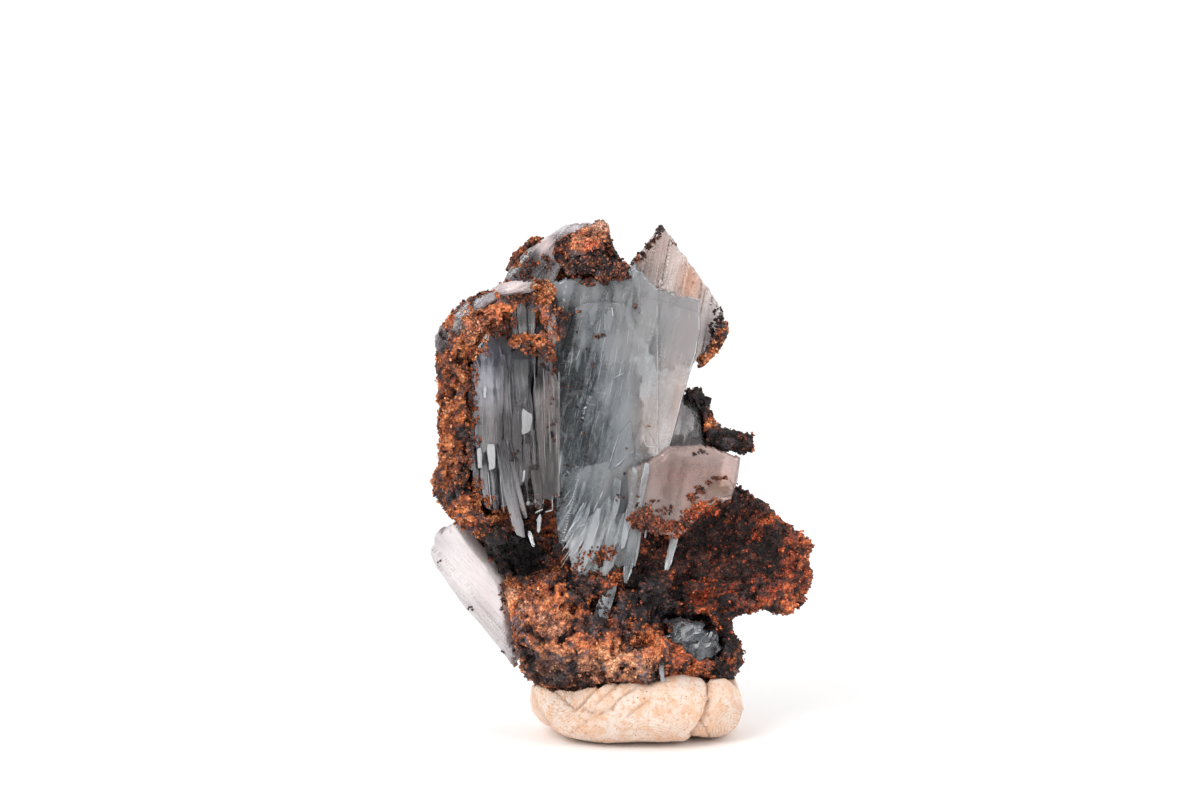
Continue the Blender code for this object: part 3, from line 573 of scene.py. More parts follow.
# Crust that laps over the crystals and roughens the outline.
EXTRA = [
    at(469, 340, -5.3, 1.2, 1.1, 1.8, 10), at(480, 327, -5.7, 1.8, 1.1, 1.0, -28),
    at(496, 319, -5.7, 1.4, 1.0, 0.8, -10), at(474, 356, -5.3, 0.7, 0.8, 1.2),
    at(453, 328, -1.5, 1.4, 3.0, 1.6), at(470, 314, -4.2, 1.8, 1.6, 1.2, -35),
    at(487, 312, -5.0, 2.0, 1.3, 1.2, -10), at(503, 306, -5.0, 1.6, 1.1, 0.9),
    at(546, 290, -4.4, 1.1, 1.4, 1.6), at(549, 312, -4.9, 1.0, 1.2, 1.8, 10),
    at(541, 340, -5.0, 1.1, 0.9, 1.3), at(527, 338, -5.3, 1.2, 0.9, 0.9, -20),
    at(516, 345, -5.2, 0.8, 0.8, 0.7), at(552, 350, -4.6, 0.9, 1.0, 2.0),
    at(463, 340, -4.6, 1.4, 1.4, 2.0, 15), at(461, 372, -4.8, 1.1, 1.2, 2.0),
    at(460, 424, -4.6, 1.1, 1.2, 2.0), at(462, 478, -4.8, 1.1, 1.4, 2.0),
    at(468, 385, -4.4, 0.7, 1.0, 2.6), at(467, 428, -4.4, 0.7, 1.0, 2.6),
    at(467, 462, -4.4, 0.6, 1.0, 1.6), at(474, 502, -5.4, 1.4, 1.3, 1.5, -30), at(492, 520, -6.0, 1.6, 1.2, 1.0, -30),
    at(505, 533, -6.0, 1.1, 1.0, 0.8, -20), at(588, 247, -2.0, 1.4, 1.2, 1.0),
    at(601, 243, -1.4, 0.8, 1.2, 1.1), at(604, 228, 0.6, 0.40, 0.7, 0.9, 10),
    at(570, 270, -0.5, 1.6, 1.9, 1.2), at(584, 272, -0.5, 1.6, 2.0, 1.2),
    at(598, 272, -0.5, 1.6, 2.0, 1.2), at(611, 271, -0.5, 1.4, 2.0, 1.1),
    at(532, 240, 1.0, 1.1, 1.2, 0.7, -30), at(618, 271, -1.6, 1.8, 0.9, 0.6, 20),
    at(742, 440, 0.0, 1.2, 1.4, 0.9), at(752, 449, 0.0, 0.7, 1.0, 0.8),
    at(711, 431, -0.4, 1.3, 1.4, 0.9), at(690, 396, 1.0, 1.1, 1.4, 0.9, 30),
    at(612, 575, -4.8, 1.2, 1.1, 1.2), at(600, 560, -5.8, 1.0, 0.7, 0.7),
    at(580, 598, -6.2, 2.4, 1.4, 1.2, -20), at(556, 584, -5.4, 2.0, 1.4, 1.2, -30),
    at(640, 632, -7.0, 2.0, 1.4, 1.2), at(650, 645, -7.2, 1.5, 1.3, 1.2),
    at(622, 640, -8.0, 1.8, 1.3, 1.2), at(596, 632, -8.0, 2.4, 1.4, 1.2, -20),
    at(570, 622, -7.6, 2.2, 1.5, 1.2, -25), at(545, 606, -6.2, 2.0, 1.5, 1.2, -35),
    at(640, 664, -8.6, 2.4, 1.4, 1.1), at(600, 668, -9.2, 2.6, 1.4, 1.1),
    at(560, 668, -7.2, 2.2, 1.5, 1.3), at(537, 676, -4.0, 1.6, 2.2, 1.0, 30),
    at(578, 692, -4.6, 1.2, 1.4, 1.2), at(700, 612, -3.2, 2.8, 1.3, 0.9, 4),
    at(668, 604, -4.0, 2.2, 1.3, 1.1), at(730, 600, -2.8, 1.8, 1.4, 1.3),
    at(716, 678, -4.6, 1.6, 1.4, 0.8), at(733, 650, -1.0, 0.8, 2.4, 1.5),
    at(648, 600, -3.0, 1.3, 1.3, 0.9), at(690, 588, -2.2, 2.4, 1.2, 1.0),
]  # fmt: skip
# Hollows: (u, v, half-width, half-height, depth in mm).
HOLLOWS = [
    (520, 548, 34, 22, 2.2), (560, 545, 14, 12, 0.5), (600, 610, 12, 16, 1.0),
    (640, 590, 16, 12, 0.9), (656, 612, 12, 10, 1.2), (585, 655, 30, 5, 0.8),
    (660, 668, 10, 10, 1.0), (534, 690, 8, 8, 0.8), (530, 290, 6, 8, 0.6),
    (476, 530, 12, 6, 0.8), (700, 622, 30, 8, 0.7),
]  # fmt: skip


CEILING = [
    (430, 352), (437, 338), (447, 322), (458, 308), (470, 300), (484, 293), (497, 290),
    (501, 284), (506, 268), (516, 254), (530, 242), (546, 240), (560, 238), (575, 234),
    (588, 229), (597, 224), (603, 220), (607, 225), (610, 238), (613, 250), (620, 262),
    (632, 266), (640, 268),
]  # fmt: skip


# The outline at the left, (v, u), at the lower right, (v, u), and at the foot, (u, v).
LEFT = [
    (335, 444), (345, 440), (352, 436), (360, 437), (388, 438), (419, 437), (434, 437),
    (457, 441), (468, 441), (474, 434), (490, 434), (500, 438), (510, 447), (520, 456),
    (530, 466), (545, 478), (560, 489), (575, 496), (590, 503), (600, 508), (620, 512),
    (640, 517), (655, 521), (665, 522), (680, 530), (690, 536),
]  # fmt: skip
RIGHT_LOW = [(613, 738), (620, 732), (626, 731), (636, 735), (645, 743), (660, 743), (674, 741), (690, 734)]
BOTTOM = [
    (520, 668), (528, 677), (541, 691), (552, 688), (564, 689), (570, 696), (581, 701),
    (589, 692), (600, 688), (614, 685), (627, 685), (661, 683), (670, 679), (686, 676), (711, 679), (745, 681),
]  # fmt: skip


def matrix_skin():
    co, no, faces = remeshed([NODES["goethite_matrix"]], 0.40, EXTRA)
    u, v = on_sheet(co)
    # The wing's face is a fine velvet, and the rest is knobbly.
    velvet = np.exp(
        -(((u - 716) / 66) ** 4 + ((v - 538) / 46) ** 4)
    ) * step(-co[:, 1], -6.0, 2.0)
    warp = co + 0.5 * np.stack([fbm(co, 0.7, k, 2) for k in (61, 62, 63)], 1)
    knob = 1.0 - np.clip(cells(warp, 2.1, 1), 0, 1) ** 2
    knob2 = 1.0 - np.clip(cells(warp, 1.0, 2), 0, 1) ** 2
    ridged = 1.0 - 2.0 * np.abs(fbm(warp, 0.42, 71, 4, 0.55))
    pits = step(fbm(warp, 0.62, 33, 4, 0.6), 0.06, 0.36)
    plain = 1 - 0.8 * velvet
    d = 0.75 * fbm(co, 0.18, 8, 4) * plain
    d += (0.85 * (knob - 0.62) + 0.55 * (knob2 - 0.6) + 0.6 * (ridged - 0.72)) * plain
    d -= 1.5 * pits * plain
    d -= 0.42 * (1 - velvet)
    # The thin outer edges keep their shape.
    d = np.where(u > 700, np.clip(d, -0.8, 0.6), d)
    for hu, hv, ru, rv, depth in HOLLOWS:
        w = np.exp(-(((u - hu) / ru) ** 2 + ((v - hv) / rv) ** 2)) * step(-co[:, 1], -1.0, 1.5)
        d -= depth * w
    co = co + no * d[:, None]
    # The highest that the crust reaches along the top.
    u, v = on_sheet(co)
    top_u, top_v = np.array(CEILING, float).T
    over = np.interp(u, top_u, top_v) + 5.0 * fbm(co, 0.9, 17, 2) - v
    over = np.where((u > top_u[0]) & (u < top_u[-1]), np.clip(over, 0, None), 0)
    co[:, 2] -= 0.15 * 0.93 * over
    u, v = on_sheet(co)
    wild = 3.0 * fbm(co, 0.8, 18, 2)
    lv, lu = np.array(LEFT, float).T
    over = np.where(v > lv[0], np.clip(np.interp(v, lv, lu) - 0.5 + wild - u, 0, None), 0)
    co[:, 0] += 0.15 * 0.92 * np.clip(over, 0, 40)
    rv_, ru_ = np.array(RIGHT_LOW, float).T
    near_ = (v > rv_[0]) & (v < rv_[-1]) & (u < 770)
    over = np.where(near_, np.clip(u - np.interp(v, rv_, ru_) + 2.0 + wild, 0, 16), 0)
    co[:, 0] -= 0.15 * 0.92 * over
    bu, bv = np.array(BOTTOM, float).T
    over = np.where(
        (u > bu[0]) & (u < bu[-1]) & (co[:, 1] < 2.0),
        np.clip(v - np.interp(u, bu, bv) + 1.0 + wild, 0, 16), 0,
    )
    co[:, 2] += 0.15 * 0.92 * over
    # how deep in a pit or dip each point is, used for painted shade in the hollows
    hollow_shade = np.clip(pits + 0.4 * step(-d, 0.2, 1.4), 0, 1)
    return co, faces, velvet, hollow_shade


matrix_co, matrix_faces, velvet, hollow_shade = matrix_skin()
matrix_no = normals_of(matrix_co, matrix_faces)
# the grains are rustier than what is under them, and the body is painted darker in its pits and dips as painted shade
rust = rust_at(matrix_co) - 0.14 - 0.42 * hollow_shade
crust = mesh_from(
    "crust_body", matrix_co, matrix_faces, 180, {"tint": crust_colour(matrix_co, rust)}
)
CRUST = crust_material("goethite_crust")
crust.data.materials.append(CRUST)


def tree_of(objs):
    V, F, base = [], [], 0
    for o in objs:
        co, _, tri = arrays(o.data)
        V.append(co)
        F.append(tri + base)
        base += len(co)
    return BVHTree.FromPolygons(
        np.concatenate(V).tolist(), np.concatenate(F).tolist(), all_triangles=True
    )


def seen(tree, u, v):
    """What the sheet shows at (u, v): (point, normal), or None."""
    aim = front(u, v, 0.0) - EYE
    hit, normal, _, _ = tree.ray_cast(Vector(EYE), Vector(aim).normalized(), 2000.0)
    return None if hit is None else (np.array(hit), np.array(normal))


CRUST_TREE = tree_of([crust])
DEEP = KDTree(len(matrix_co[::2]))
for i_, c_ in enumerate(matrix_co[::2].tolist()):
    DEEP.insert(c_, i_)
DEEP.balance()
HOLLOW_SHADE = hollow_shade[::2]


def hollow_shade_at(p):
    """How deep in a hollow of the crust p is, 0 to 1; it darkens the colour there as painted shade."""
    return HOLLOW_SHADE[[DEEP.find(c)[1] for c in p.tolist()]]


# ---------------------------------------------------------------- grains
ICO = bmesh.new()
bmesh.ops.create_icosphere(ICO, subdivisions=1, radius=1.0)
ICO_V = np.array([v.co[:] for v in ICO.verts])
ICO_F = np.array([[v.index for v in f.verts] for f in ICO.faces])
ICO.free()
OCT_V = np.array(
    [[1, 0, 0], [-1, 0, 0], [0, 1, 0], [0, -1, 0], [0, 0, 1], [0, 0, -1]], float
)
OCT_F = np.array(
    [[0, 2, 4], [2, 1, 4], [1, 3, 4], [3, 0, 4], [2, 0, 5], [1, 2, 5], [3, 1, 5], [0, 3, 5]]
)


def rotations(rng, n):
    q = rng.normal(size=(n, 4))
    q /= np.linalg.norm(q, axis=1, keepdims=True)
    w, x, y, z = q.T
    return np.stack(
        [
            1 - 2 * (y * y + z * z), 2 * (x * y - z * w), 2 * (x * z + y * w),
            2 * (x * y + z * w), 1 - 2 * (x * x + z * z), 2 * (y * z - x * w),
            2 * (x * z - y * w), 2 * (y * z + x * w), 1 - 2 * (x * x + y * y),
        ],
        1,
    ).reshape(-1, 3, 3)  # fmt: skip


def grains(name, centres, size, rng, shape=(ICO_V, ICO_F), rough=0.28, jitter=0.0,
           shift=0.0, material=None, level=None):
    """Many small stones at centres, as one mesh."""
    V, F = shape
    n = len(centres)
    scale = size[:, None] * rng.uniform(0.7, 1.3, (n, 3))
    local = V[None] * (1 + rough * rng.uniform(-1, 1, (n, len(V), 1)))
    local = local * scale[:, None, :]
    pts = np.einsum("nij,nkj->nki", rotations(rng, n), local) + centres[:, None, :]
    faces = (F[None] + (np.arange(n) * len(V))[:, None, None]).reshape(-1, 3)
    # grains in hollows are painted darker, as painted shade
    r = (rust_at(centres) + 0.10 - 0.40 * hollow_shade_at(centres) if level is None else level) + shift
    r = r + jitter * rng.normal(size=n)
    col = crust_colour(centres, r)
    col[:, :3] *= rng.uniform(0.6, 1.3, (n, 1))
    col[:, :3] = np.clip(col[:, :3], 0.002, 0.9)
    col = np.repeat(col, len(V), axis=0)
    obj = mesh_from(name, pts.reshape(-1, 3), faces, None, {"tint": col})
    obj.data.materials.append(material or CRUST)
    return obj


def scatter(co, faces, n, rng, weight=None):
    """n places on the surface: (points, normals)."""
    tri = faces if faces.shape[1] == 3 else np.concatenate([faces[:, :3], faces[:, [0, 2, 3]]])
    a, b, c = co[tri[:, 0]], co[tri[:, 1]], co[tri[:, 2]]
    nn = np.cross(b - a, c - a)
    area = np.linalg.norm(nn, axis=1)
    nn /= np.maximum(area[:, None], 1e-12)
    w = area if weight is None else area * np.clip(weight[tri].mean(1), 0, None)
    pick = rng.choice(len(tri), n, p=w / w.sum())
    r1, r2 = np.sqrt(rng.random(n)), rng.random(n)
    p = a[pick] * (1 - r1)[:, None] + b[pick] * (r1 * (1 - r2))[:, None] + c[pick] * (r1 * r2)[:, None]
    return p, nn[pick]


rng = np.random.default_rng(2024)
granular = (1 - 0.92 * velvet) * (0.45 + 0.55 * step(fbm(matrix_co, 0.5, 40, 3), -0.35, 0.3))

# Knots of grains
KN, PER = 3600, 7
knots_p, knots_n = scatter(matrix_co, matrix_faces, KN, rng, granular * (1.15 - hollow_shade))
R = rng.uniform(0.18, 0.50, KN)
d = rng.normal(size=(KN, PER, 3))
d /= np.linalg.norm(d, axis=2, keepdims=True)
flip = np.sign((d * knots_n[:, None]).sum(2))[..., None]
d = d * np.where(flip == 0, 1, flip)
places = knots_p[:, None] + d * R[:, None, None] * rng.uniform(0.5, 1.15, (KN, PER, 1))
big = grains(
    "crust_knots", places[:, :4].reshape(-1, 3), rng.uniform(0.13, 0.27, KN * 4),
    rng, (OCT_V, OCT_F), 0.3, jitter=0.14, shift=0.06,
)
knots_b = grains(
    "crust_knots_fine", places[:, 4:].reshape(-1, 3), rng.uniform(0.10, 0.20, KN * 3),
    rng, (OCT_V, OCT_F), 0.3, jitter=0.16, shift=0.04,
)
# Coarse single grains
p, n = scatter(matrix_co, matrix_faces, 4200, rng, granular)
mid = grains(
    "crust_grains_coarse", p + n * rng.uniform(-0.02, 0.14, (4200, 1)),
    rng.uniform(0.14, 0.27, 4200), rng, jitter=0.18, shift=0.04,
)
# Fine grit
p, n = scatter(matrix_co, matrix_faces, 12500, rng, granular)
fine_a = grains(
    "crust_grit", p + n * rng.uniform(0.0, 0.12, (12500, 1)),
    rng.uniform(0.08, 0.18, 12500), rng, (OCT_V, OCT_F), 0.3, 0.18, 0.02,
)
# The velvet of the wing: short needles standing on its face.
velvet_w = np.clip(velvet * 1.3, 0, 1)
p, n = scatter(matrix_co, matrix_faces, 19000, rng, velvet_w + 0.02)
NEEDLE_V = np.array([[1, 0, 0], [-0.5, 0.87, 0], [-0.5, -0.87, 0], [0, 0, 1]], float)
NEEDLE_F = np.array([[0, 2, 1], [0, 1, 3], [1, 2, 3], [2, 0, 3]])
lean = n + 0.45 * rng.normal(size=n.shape)
lean /= np.linalg.norm(lean, axis=1, keepdims=True)
side = np.cross(lean, rng.normal(size=n.shape))
side /= np.linalg.norm(side, axis=1, keepdims=True)
third = np.cross(lean, side)
w = rng.uniform(0.05, 0.11, 19000)
h = rng.uniform(0.15, 0.42, 19000)
pts = (
    (p - n * 0.08)[:, None]
    + NEEDLE_V[None, :, 0:1] * (side * w[:, None])[:, None]
    + NEEDLE_V[None, :, 1:2] * (third * w[:, None])[:, None]
    + NEEDLE_V[None, :, 2:3] * (lean * h[:, None])[:, None]
)
faces = (NEEDLE_F[None] + (np.arange(19000) * 4)[:, None, None]).reshape(-1, 3)
r = rust_at(p) + 0.20 * rng.normal(size=19000) + 0.04
col = crust_colour(p, r)
col[:, :3] *= rng.uniform(0.6, 1.4, (19000, 1))
col = np.repeat(col, 4, axis=0)
# painted light: each needle's tip is made lighter than its foot
col[3::4, :3] *= 1.25
velvet_obj = mesh_from("crust_velvet", pts.reshape(-1, 3), faces, None, {"tint": col})
velvet_obj.data.materials.append(CRUST)

for piece in (crust, big, knots_b, mid, fine_a, velvet_obj):
    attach(piece, "root")
    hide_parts("goethite_matrix")

# The scrap of crust on the back blade's edge
rim_co, rim_no, rim_faces = remeshed([NODES["goethite_rim_crust"]], 0.35)
rim_co = rim_co + rim_no * (
    -0.75 + 0.5 * (1 - np.clip(cells(rim_co, 1.5, 6), 0, 1) ** 2 - 0.55) + 0.25 * fbm(rim_co, 0.5, 3, 3)
)[:, None]
ru_, rv_ = on_sheet(rim_co)
outer = np.interp(rv_, [310, 318, 324, 332, 340, 348, 356, 362, 368], [722, 725, 727, 726, 723, 719, 712, 705, 698])
inner = np.interp(rv_, [322, 330, 340, 350, 358, 366], [721, 718, 711, 705, 698, 692])
wild = 2.5 * fbm(rim_co, 0.9, 19, 2)
rim_co[:, 0] -= 0.15 * 0.95 * np.clip(ru_ - outer + wild, 0, 12)
rim_co[:, 0] += 0.15 * 0.95 * np.clip(inner - ru_ + wild, 0, 12)
rim_co[:, 2] += 0.15 * 0.95 * np.clip(rv_ - 366, 0, 12)
rim_no = normals_of(rim_co, rim_faces)
rim = mesh_from(
    "rim_crust_body", rim_co, rim_faces, 180,
    {"tint": crust_colour(rim_co, rust_at(rim_co) - 0.2)},
)
rim.data.materials.append(CRUST)
p, n = scatter(rim_co, rim_faces, 900, rng)
rim_grains = grains(
    "rim_crust_grains", p + n * rng.uniform(-0.02, 0.2, (900, 1)),
    rng.uniform(0.10, 0.24, 900), rng, jitter=0.22, shift=0.02,
)
for piece in (rim, rim_grains):
    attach(piece, "root")
    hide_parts("goethite_rim_crust")


# ---------------------------------------------------------------- blades
def plane(outline, depth):
    """The blade's plane, as in the model: (origin, ex, ey, out)."""
    o = np.array(outline, float)
    u0, v0 = o.mean(0)
    y0, du, dv = depth
    origin = front(u0, v0, y0)
    ex = front(u0 + 10, v0, y0 + 10 * du) - origin
    ex /= np.linalg.norm(ex)
    up = front(u0, v0 - 10, y0 - 10 * dv) - origin
    out = np.cross(ex, up)
    out /= np.linalg.norm(out)
    ey = np.cross(out, ex)
    return origin, ex, ey, out


def onto(plane_, u, v):
    origin, ex, ey, out = plane_
    ray = front(u, v, 0.0) - EYE
    hit = EYE + ray * (((origin - EYE) @ out) / (ray @ out))
    return np.array([(hit - origin) @ ex, (hit - origin) @ ey])


def inside(pts, poly):
    x, y = pts[:, 0], pts[:, 1]
    hit = np.zeros(len(pts), bool)
    for (x1, y1), (x2, y2) in zip(poly, np.roll(poly, -1, axis=0)):
        if y1 == y2:
            continue
        cross = ((y1 > y) != (y2 > y)) & (x < (x2 - x1) * (y - y1) / (y2 - y1) + x1)
        hit ^= cross
    return hit


def to_edge(pts, poly):
    best = np.full(len(pts), 1e9)
    for a, b in zip(poly, np.roll(poly, -1, axis=0)):
        ab = b - a
        t = np.clip(((pts - a) @ ab) / max(ab @ ab, 1e-12), 0, 1)
        best = np.minimum(best, np.linalg.norm(pts - (a + t[:, None] * ab), axis=1))
    return best


def steps(t, rng, lo, hi, wmin, wmax, rise, tilt):
    """A step profile over t: each strip has its own height and tilt."""
    cuts = [lo]
    while cuts[-1] < hi:
        cuts.append(cuts[-1] + rng.uniform(wmin, wmax) ** 1.0)
    cuts = np.array(cuts)
    k = np.clip(np.searchsorted(cuts, t) - 1, 0, len(cuts) - 2)
    height = rng.uniform(-1, 1, len(cuts)) * rise
    slope = rng.uniform(-1, 1, len(cuts)) * tilt
    mid = (cuts[k] + cuts[k + 1]) / 2
    return height[k] + slope[k] * (t - mid)


def slab(
    name, outline, depth, thick, lean, seed, cell=(0.17, 0.42), relief=0.10,
    jag=(0.5, 0.9), laths=(), sheaves=24, bow=0.0, edge=0.55, veil=None, stain=None,
    material=None, tilt=0.10, terraces=(), rim_painted_shade=0.0, strips=(0.35, 2.2, 0.18, 0.7),
    lift=(0.05, 0.26), sway=0.5,
):  # fmt: skip
    """A bladed crystal: striated along its fibres, with broken, stepped ends.

    lean is the fibres' lean from upright in degrees, to the right at the top.
    """
    rng = np.random.default_rng(seed)
    pl = plane(outline, depth)
    origin, ex, ey, out = pl
    poly = np.array([onto(pl, u, v) for u, v in outline])
    a = math.radians(lean)
    f = np.array([math.sin(a), math.cos(a)])
    c = np.array([math.cos(a), -math.sin(a)])
    # Outline at small steps, and its ends broken along the fibres.
    fine = []
    for p0, p1 in zip(poly, np.roll(poly, -1, axis=0)):
        n = max(1, int(np.linalg.norm(p1 - p0) / 0.16))
        fine += [p0 + (p1 - p0) * i / n for i in range(n)]
    fine = np.array(fine)
    area = 0.5 * np.sum(
        poly[:, 0] * np.roll(poly[:, 1], -1) - np.roll(poly[:, 0], -1) * poly[:, 1]
    )
    tang = np.roll(fine, -1, axis=0) - np.roll(fine, 1, axis=0)
    tang /= np.linalg.norm(tang, axis=1, keepdims=True)
    nrm = np.stack([tang[:, 1], -tang[:, 0]], 1) * (1 if area > 0 else -1)
    facing = nrm @ f
    t_edge = fine @ c
    tl, th = t_edge.min() - 1, t_edge.max() + 1
    top = steps(t_edge, rng, tl, th, 0.25, 1.5, jag[0] / 2, 0.35) - jag[0] / 2
    low = steps(t_edge, rng, tl, th, 0.25, 1.3, jag[1] / 2, 0.35) - jag[1] / 2
    shift = np.where(facing > 0, top, -low) * step(np.abs(facing), 0.25, 0.7)
    fine = fine + f * shift[:, None]
    # Points inside
    ct, cs = cell
    s_all = fine @ f
    gt = np.arange(t_edge.min(), t_edge.max(), ct)
    gs = np.arange(s_all.min(), s_all.max(), cs)
    T, S = np.meshgrid(gt, gs, indexing="ij")
    S = S + (np.arange(len(gt)) % 2)[:, None] * cs / 2
    T = T + rng.uniform(-0.2, 0.2, T.shape) * ct
    pts = T.ravel()[:, None] * c + S.ravel()[:, None] * f
    keep = inside(pts, fine)
    pts = pts[keep]
    pts = pts[to_edge(pts, fine) > 0.07]
    m = len(fine)
    edges = [(i, (i + 1) % m) for i in range(m)]
    # Each terrace's edge is drawn as two lines close together.
    lines_ = []
    for ring, _ in terraces:
        corners = np.array([onto(pl, u, v) for u, v in ring])
        r_ = []
        for p0, p1 in zip(corners, np.roll(corners, -1, axis=0)):
            n = max(1, int(np.linalg.norm(p1 - p0) / 0.17))
            r_ += [p0 + (p1 - p0) * i / n for i in range(n)]
        r_ = np.array(r_)
        tg = np.roll(r_, -1, axis=0) - np.roll(r_, 1, axis=0)
        tg /= np.maximum(np.linalg.norm(tg, axis=1, keepdims=True), 1e-9)
        nr = np.stack([tg[:, 1], -tg[:, 0]], 1)
        pts = pts[to_edge(pts, r_) > 0.09]
        for sgn in (-0.035, 0.035):
            q_ = r_ + nr * sgn
            ok = inside(q_, fine) & (to_edge(q_, fine) > 0.08)
            lines_.append((q_, ok))
    allp = np.concatenate([fine, pts])
    for q_, ok in lines_:
        index = np.full(len(q_), -1)
        index[ok] = len(allp) + np.arange(ok.sum())
        allp = np.concatenate([allp, q_[ok]])
        for i in range(len(q_)):
            j = (i + 1) % len(q_)
            if ok[i] and ok[j]:
                edges.append((int(index[i]), int(index[j])))
    vv, _, tris, vmap, _, _ = geometry.delaunay_2d_cdt(
        [Vector(q) for q in allp], edges, [], 1, 1e-5
    )
    P = np.array([q[:] for q in vv])
    tris = [t for t in tris if len(t) == 3]
    F = np.array(tris, int)
    # Which edges are on the rim
    e = np.concatenate([F[:, [0, 1]], F[:, [1, 2]], F[:, [2, 0]]])
    key = {}
    for i, j in e:
        key[(int(i), int(j))] = key.get((int(i), int(j)), 0) + 1
    rim_edges = [(i, j) for (i, j) in key if (j, i) not in key]
    t, s = P @ c, P @ f
    far = to_edge(P, fine)
    q3 = np.stack([t * 0.5, s * 0.05, np.full(len(t), seed * 1.7)], 1)
    bend = sway * vnoise(q3, 1.0, seed)
    tw = t + bend
    front_h = steps(tw, rng, tl, th, strips[0], strips[1], relief, tilt) + steps(
        tw, rng, tl, th, strips[2], strips[3], relief * 0.35, tilt
    )
    back_h = steps(tw, rng, tl, th, 0.35, 2.4, relief, tilt) + steps(
        tw, rng, tl, th, 0.18, 0.8, relief * 0.3, tilt
    )
    # Thin blades that lie on the face and end part way down it.
    s_lo, s_hi = s.min(), s.max()
    for side in (0, 1):
        acc = np.zeros(len(t))
        for _ in range(sheaves):
            t0 = rng.uniform(tl, th)
            wd = rng.uniform(0.4, 2.4)
            s0 = rng.uniform(s_lo, s_hi)
            ln = rng.uniform(0.2, 0.8) * (s_hi - s_lo)
            skew = rng.uniform(-0.6, 0.6)
            low_end = s0 + skew * (tw - t0)
            inside_ = (
                step(tw, t0 - 0.04, t0 + 0.04)
                * (1 - step(tw, t0 + wd - 0.04, t0 + wd + 0.04))
                * step(s, low_end - 0.05, low_end + 0.25)
                * (1 - step(s, low_end + ln - 0.3, low_end + ln + 0.1))
            )
            acc = np.maximum(acc, inside_ * rng.uniform(*lift))
        if side == 0:
            front_h = front_h + acc
        else:
            back_h = back_h + acc
    for u, v, half_w, length, rise in laths:
        # one given lath: its lower end at (u, v)
        q = onto(pl, u, v)
        tt, ss = q @ c, q @ f
        w_ = half_w * (1 - 0.25 * np.clip((s - ss) / length, 0, 1))
        front_h = front_h + rise * (
            step(-np.abs(tw - tt), -w_ - 0.08, -w_ + 0.02)
            * step(s, ss - 0.05, ss + 0.5 * half_w)
            * (1 - step(s, ss + length * 0.7, ss + length))
        )
    base_front = origin + P[:, :1] * ex + P[:, 1:] * ey
    pu, pv = on_sheet(base_front)
    sheet = np.stack([pu, pv], 1)
    for ring, rise in terraces:
        ring = np.array(ring, float)
        inn = inside(sheet, ring)
        front_h = front_h + np.where(inn, rise, 0.0)
    half = thick / 2
    rounding = 1 - edge * (1 - np.sqrt(np.clip(1 - (1 - np.clip(far / 0.55, 0, 1)) ** 2, 0, 1)))
    curve = bow * (1 - ((t - t.mean()) / (0.5 * (th - tl))) ** 2)
    zf = (half + front_h) * rounding + curve
    zb = -(half + back_h) * rounding + curve
    zb = np.minimum(zb, zf - 0.25)
    base = origin + P[:, :1] * ex + P[:, 1:] * ey
    front_v = base + out * zf[:, None]
    back_v = base + out * zb[:, None]
    n = len(P)
    # out faces away from the eye or towards it: find which way round
    towards = (out @ (EYE - origin)) > 0
    A = F if towards else F[:, ::-1]
    tri_front = A
    tri_back = A[:, ::-1] + n
    walls = []
    for i, j in rim_edges:
        if towards:
            walls += [(j, i, i + n), (j, i + n, j + n)]
        else:
            walls += [(i, j, j + n), (i, j + n, i + n)]
    verts = np.concatenate([front_v, back_v])
    faces = np.concatenate([tri_front, tri_back, np.array(walls, int)])
    fib = np.concatenate(
        [np.stack([t, s, zf], 1), np.stack([t + 40, s, zb], 1)]
    ) + np.array([seed * 3.1, seed * 1.3, 0])
    u_, v_ = on_sheet(verts)
    vl = 0.5 + field(u_, v_, veil or [])
    st = np.ones((len(verts), 4))
    for su, sv, ru, rv, colour in stain or []:
        d = np.exp(-(((u_ - su) / ru) ** 2 + ((v_ - sv) / rv) ** 2) * 0.9)[:, None]
        st[:, :3] = st[:, :3] * (1 - d) + np.array(colour) * d
    near_rim = np.concatenate([far, far])
    # painted shade: the tint is darker near the outline, standing in for the shade on the edge walls
    st[:, :3] *= (1 - rim_painted_shade * (1 - step(near_rim, 0.0, 0.8)))[:, None]
    obj = mesh_from(
        name, verts, faces, 24,
        {"fibre": fib, "veil": np.clip(vl, -1, 2), "stain": st},
    )
    # all faces outwards
    bm = bmesh.new()
    bm.from_mesh(obj.data)
    bmesh.ops.recalc_face_normals(bm, faces=bm.faces)
    bm.to_mesh(obj.data)
    bm.free()
    if material:
        obj.data.materials.append(material)
    return obj


